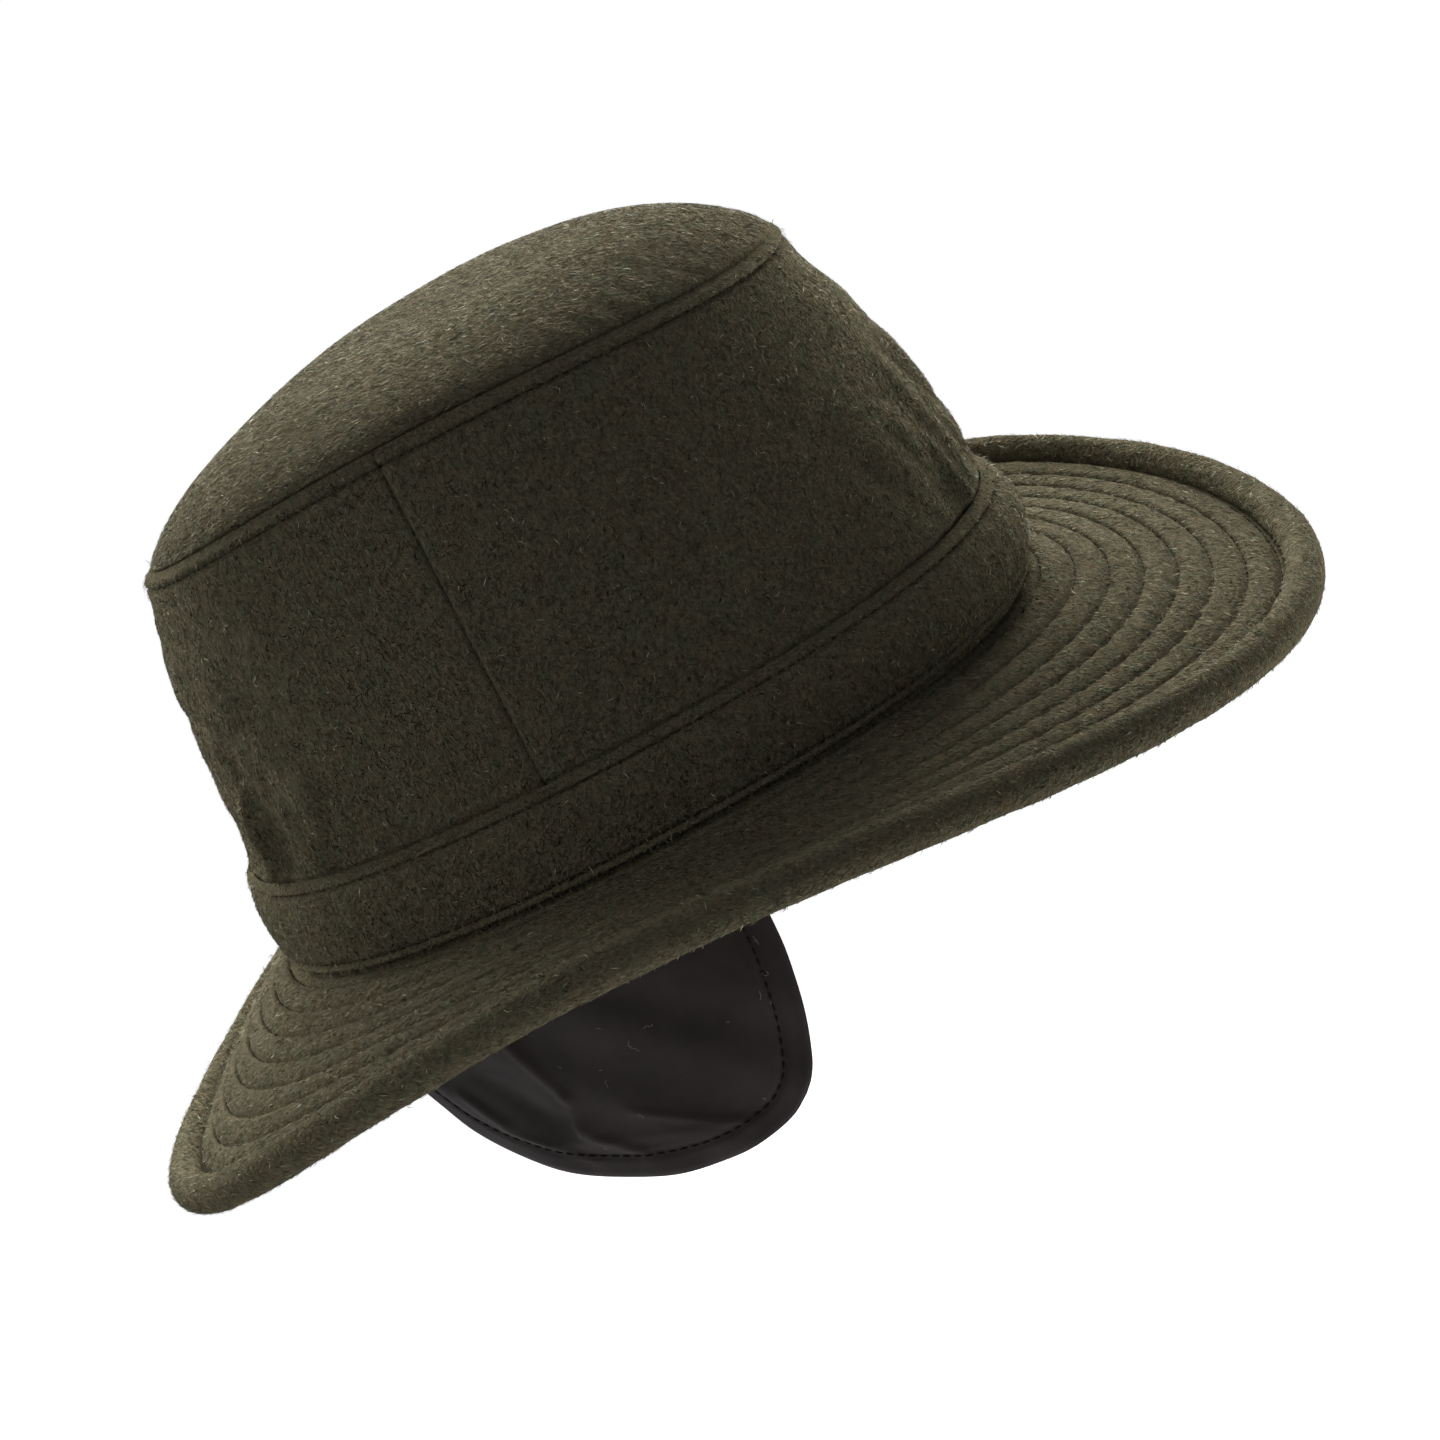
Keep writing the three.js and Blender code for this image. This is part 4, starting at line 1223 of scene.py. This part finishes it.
def grow_nap(name, count, lay, spread, underneath, seed, bare):
    """Short fibres that lie on a piece, each a narrow pointed leaf bent in its middle."""
    sizes = bpy.context.scene.hat_sizes
    rng = np.random.default_rng(seed)
    ground, across = ground_of(name)
    area = np.linalg.norm(across, axis=1) * np.where(across[:, 2] < 0, underneath, 1.0)
    wanted, count = count, int(count * NAP_SPARE)
    pick = rng.choice(len(ground), count, p=area / area.sum())
    a, b, c, d = ground[pick].transpose(1, 0, 2)
    u, v = rng.random((2, count, 1))
    place = (a * (1 - u) + b * u) * (1 - v) + (d * (1 - u) + c * u) * v
    normal = unit(across[pick])
    laid = unit(np.array(lay) - normal * (normal @ np.array(lay))[:, None])
    angle = np.radians(spread * rng.standard_normal(count))[:, None]
    way = laid * np.cos(angle) + np.cross(normal, laid) * np.sin(angle)
    side = np.cross(normal, way)
    stray = (rng.random(count) < STRAY_SHARE)[:, None]

    def varied(usual, limits, stray_times):
        return usual * rng.uniform(*limits, (count, 1)) * np.where(stray, stray_times, 1.0)

    length = varied(sizes.nap_length, NAP_LENGTHS, STRAY_LENGTH)
    width = varied(sizes.nap_width, NAP_WIDTHS, STRAY_WIDTH)
    bend = length * rng.normal(0, NAP_BEND, (count, 1))
    lift_middle = varied(MM, NAP_MIDDLE, STRAY_MIDDLE)
    lift_tip = varied(MM, NAP_TIP, STRAY_TIP)
    roll = rng.normal(0, NAP_ROLL, (count, 1))
    flat = side * np.cos(roll) + normal * np.sin(roll)
    foot = place - normal * NAP_SINK * MM
    middle = place + way * length * 0.5 + side * bend + normal * lift_middle
    tip = place + way * length + normal * lift_tip
    corners = np.stack([foot, middle - flat * width / 2, middle + flat * width / 2, tip], 1)
    clear = np.ones(count, bool)
    for part in (foot, middle, tip):
        clear &= ~np.isin(cell_of(part / MM), bare)
    corners, normal, count = corners[clear][:wanted], normal[clear][:wanted], min(wanted, clear.sum())
    first = np.arange(count)[:, None] * 4
    faces = np.concatenate([first + [0, 1, 2], first + [1, 3, 2]], 1).reshape(-1, 3)
    tone = np.repeat(rng.random(count), 6)
    along = np.tile([0.0, 0.5, 0.5, 0.5, 1.0, 0.5], count)
    obj = joined_mesh(name.replace("_wool", "_nap"), corners.reshape(-1, 3), faces,
                      np.stack([tone, along], -1))
    # a fibre is lit as the felt that it lies on, give or take its own roundness
    lit = unit(normal + NAP_ROUNDNESS * rng.standard_normal((count, 3)))
    obj.data.normals_split_custom_set_from_vertices(np.repeat(lit, 4, axis=0))
    return dress(obj, wool_nap(), "wool_melton")


# Lint
LINT = (("ear_neck_flap_cloth", 80), ("crown_front_wool", 16), ("crown_back_wool", 14))
LINT_STEPS = 7
LINT_STEP, LINT_WIDTH, LINT_LIFT = 0.4, 0.09, 0.3  # mm
LINT_LENGTHS, LINT_CURL = (0.4, 1.3), (0.35, 0.5)  # shares, and radians at each step with their spread


def drop_lint(name, count, seed):
    """Thin curled threads that lie on a piece."""
    rng = np.random.default_rng(seed)
    ground, across = ground_of(name)
    area = np.linalg.norm(across, axis=1)
    pick = rng.choice(len(ground), count, p=area / area.sum())
    a, b, c, d = ground[pick].transpose(1, 0, 2)
    normal = unit(across[pick])
    place = (a + b + c + d) / 4 + normal * LINT_LIFT * MM
    length = rng.uniform(*LINT_LENGTHS, (count, 1))
    first = unit(np.cross(normal, rng.standard_normal((count, 3))))
    second = np.cross(normal, first)
    angle = np.zeros((count, 1))
    pairs = []
    for _ in range(LINT_STEPS):
        way = first * np.cos(angle) + second * np.sin(angle)
        side = np.cross(normal, way) * LINT_WIDTH / 2 * MM
        pairs += [place - side, place + side]
        place = place + way * LINT_STEP * MM * length
        angle = angle + rng.normal(*LINT_CURL, (count, 1))
    step = np.arange(0, 2 * LINT_STEPS - 2, 2)
    strip = np.concatenate([
        np.stack([step, step + 2, step + 1], -1), np.stack([step + 1, step + 2, step + 3], -1)])
    faces = (strip[None] + (np.arange(count) * 2 * LINT_STEPS)[:, None, None]).reshape(-1, 3)
    lint_name = name.replace("_wool", "_lint").replace("_cloth", "_lint")
    obj = joined_mesh(lint_name, np.stack(pairs, 1).reshape(-1, 3), faces)
    return dress(obj, plain_thread("cotton_lint", bpy.context.scene.hat_colours.lint), "flap_cloth")


class HAT_OT_lint(bpy.types.Operator):
    """Drops a few specks of lint on the flap and the crown"""

    bl_idname = "winter_hat.lint"
    bl_label = "Lint"

    def execute(self, context):
        for k, row in enumerate(LINT):
            drop_lint(*row, seed=LINT_SEED + k)
        return {"FINISHED"}


class HAT_OT_nap(bpy.types.Operator):
    """Grows the short nap on every wool piece"""

    bl_idname = "winter_hat.nap"
    bl_label = "Nap"

    def execute(self, context):
        bare = bare_cells()
        for k, row in enumerate(NAP):
            grow_nap(*row, NAP_SEED + k, bare)
        return {"FINISHED"}


# Stage
CAMERA_PLACE = (0.2500218, -0.9339355, 0.2812909)
CAMERA_AXES = (
    # right, up and back of the view
    (0.86989012, 0.06777314, -0.48856728),
    (0.4361475, 0.35691414, 0.82606759),
    (0.23036176, -0.93167543, 0.28091699),
)
FOCAL_PIXELS, PHOTO_PIXELS, SENSOR = 4044.34, 1440, 36  # the camera that fits the photo; sensor in mm
CAMERA_LENS = FOCAL_PIXELS / PHOTO_PIXELS * SENSOR
FLOOR_BELOW, FLOOR_RADIUS = 0.9, 6.0  # so far down that the hat casts no shadow in the picture
FILL_COLOUR, FILL_STRENGTH = (0.25, 0.35, 1.0, 1), 0.05  # a trace of skylight in the dark parts

LIGHTS = (
    # name, right, up and back of the view, watts
    ("high_back_softbox", 0.0, 1.0, -2.2, 88.0),
    ("top_back_softbox", 0.0, 1.0, -1.0, 62.4),
    ("top_softbox", 0.0, 2.2, -1.0, 15.0),
    ("left_back_panel", -1.0, 0.2, -1.0, 55.3),
    ("left_back_high_panel", -1.0, 0.7, -1.0, 19.7),
    ("left_panel", -1.0, 0.0, -0.1, 2.8),
    ("right_back_panel", 1.0, 0.2, -1.0, 63.0),
    ("right_panel", 1.0, 0.0, -0.1, 11.0),
    ("left_front_fill", -1.0, 0.2, 0.9, 9.2),
    ("right_front_fill", 1.0, 0.2, 0.9, 5.4),
    ("low_back_panel", 0.0, -1.0, -0.6, 8.1),
    ("low_left_panel", -0.8, -1.0, 0.0, 9.2),
    ("low_right_panel", 0.8, -1.0, 0.0, 22.2),
)
LIGHT_DISTANCE, LIGHT_SIZE = 1.6, 1.1


class HAT_OT_stage(bpy.types.Operator):
    """Makes the floor, the lights and the camera"""

    bl_idname = "winter_hat.stage"
    bl_label = "Stage"

    def execute(self, context):
        scene = context.scene
        start_fresh()
        bpy.ops.mesh.primitive_circle_add(
            vertices=96, radius=FLOOR_RADIUS, fill_type="NGON", location=(0, 0, -FLOOR_BELOW))
        floor = context.object
        floor.name = "pale_floor"
        floor.data.transform(floor.matrix_world)
        floor.matrix_world = Matrix.Identity(4)
        material, tree, shader = new_material("matt_white_paper")
        if tree is not None:
            grain = node(tree, "ShaderNodeTexNoise", {"Scale": 3.0, "Detail": 2.0},
                         Vector=node(tree, "ShaderNodeTexCoord").outputs["Object"])
            tone = node(tree, "ShaderNodeValToRGB", Fac=grain.outputs["Fac"], stops=(
                (0.3, linear(hex_colour("#f4f4f2"))), (0.7, linear(hex_colour("#fafaf8")))))
            tree.links.new(tone.outputs["Color"], shader.inputs["Base Color"])
            shader.inputs["Roughness"].default_value = 0.9
            # the sweep is lit from below, so it is as white as the world round it
            shader.inputs["Emission Color"].default_value = (1, 1, 1, 1)
            shader.inputs["Emission Strength"].default_value = 1.0
        floor.data.materials.append(material)
        floor.visible_diffuse = floor.visible_glossy = floor.visible_shadow = False

        axes = Matrix(CAMERA_AXES).transposed()
        for name, right, up, back, watts in LIGHTS:
            light = bpy.data.lights.new(name, "AREA")
            light.shape, light.size, light.energy = "SQUARE", LIGHT_SIZE, watts
            lamp = bpy.data.objects.new(name, light)
            way = (axes @ Vector((right, up, back))).normalized()
            lamp.location = way * LIGHT_DISTANCE
            lamp.rotation_euler = way.to_track_quat("Z", "Y").to_euler()
            lamp.visible_camera = False
            scene.collection.objects.link(lamp)

        world = bpy.data.worlds.new("white_studio")
        scene.world = world
        world.use_nodes = True
        tree = world.node_tree
        tree.nodes.clear()
        fill = node(tree, "ShaderNodeBackground", {"Color": FILL_COLOUR, "Strength": FILL_STRENGTH})
        seen = node(tree, "ShaderNodeBackground", {"Color": (1, 1, 1, 1), "Strength": 1.0})
        path = node(tree, "ShaderNodeLightPath")
        mix = node(tree, "ShaderNodeMixShader", _0=path.outputs["Is Camera Ray"],
                   _1=fill.outputs[0], _2=seen.outputs[0])
        node(tree, "ShaderNodeOutputWorld", Surface=mix.outputs[0])
        scene.view_settings.view_transform = "Standard"
        scene.view_settings.look = "None"

        lens = bpy.data.cameras.new("photo_camera")
        lens.lens, lens.sensor_width, lens.sensor_fit = CAMERA_LENS, SENSOR, "HORIZONTAL"
        lens.clip_start, lens.clip_end = 0.05, 30.0
        camera = bpy.data.objects.new("photo_camera", lens)
        scene.collection.objects.link(camera)
        placed = axes.to_4x4()
        placed.translation = Vector(CAMERA_PLACE)
        camera.matrix_world = placed
        scene.camera = camera
        return {"FINISHED"}


class HAT_PT_panel(bpy.types.Panel):
    """Lists the pieces of the hat"""

    bl_idname = "HAT_PT_panel"
    bl_label = "Winter hat"
    bl_space_type = "VIEW_3D"
    bl_region_type = "UI"
    bl_category = "Winter hat"

    def draw(self, context):
        layout = self.layout
        for operator in OPERATORS:
            layout.operator(operator.bl_idname)
        for group in (context.scene.hat_sizes, context.scene.hat_colours):
            box = layout.box()
            for name in group.__annotations__:
                box.prop(group, name)


OPERATORS = (
    HAT_OT_crown_tip, HAT_OT_crown_panels, HAT_OT_band, HAT_OT_brim, HAT_OT_edge_roll, HAT_OT_flap,
    HAT_OT_stitches, HAT_OT_nap, HAT_OT_lint, HAT_OT_stage,
)
CLASSES = (HatSizes, HatColours, *OPERATORS, HAT_PT_panel)


def register():
    for cls in CLASSES:
        bpy.utils.register_class(cls)
    bpy.types.Scene.hat_sizes = PointerProperty(type=HatSizes)
    bpy.types.Scene.hat_colours = PointerProperty(type=HatColours)


def unregister():
    del bpy.types.Scene.hat_sizes
    del bpy.types.Scene.hat_colours
    for cls in reversed(CLASSES):
        bpy.utils.unregister_class(cls)


def main():
    register()
    for operator in OPERATORS:
        group, name = operator.bl_idname.split(".")
        getattr(getattr(bpy.ops, group), name)()


if __name__ == "__main__":
    main()
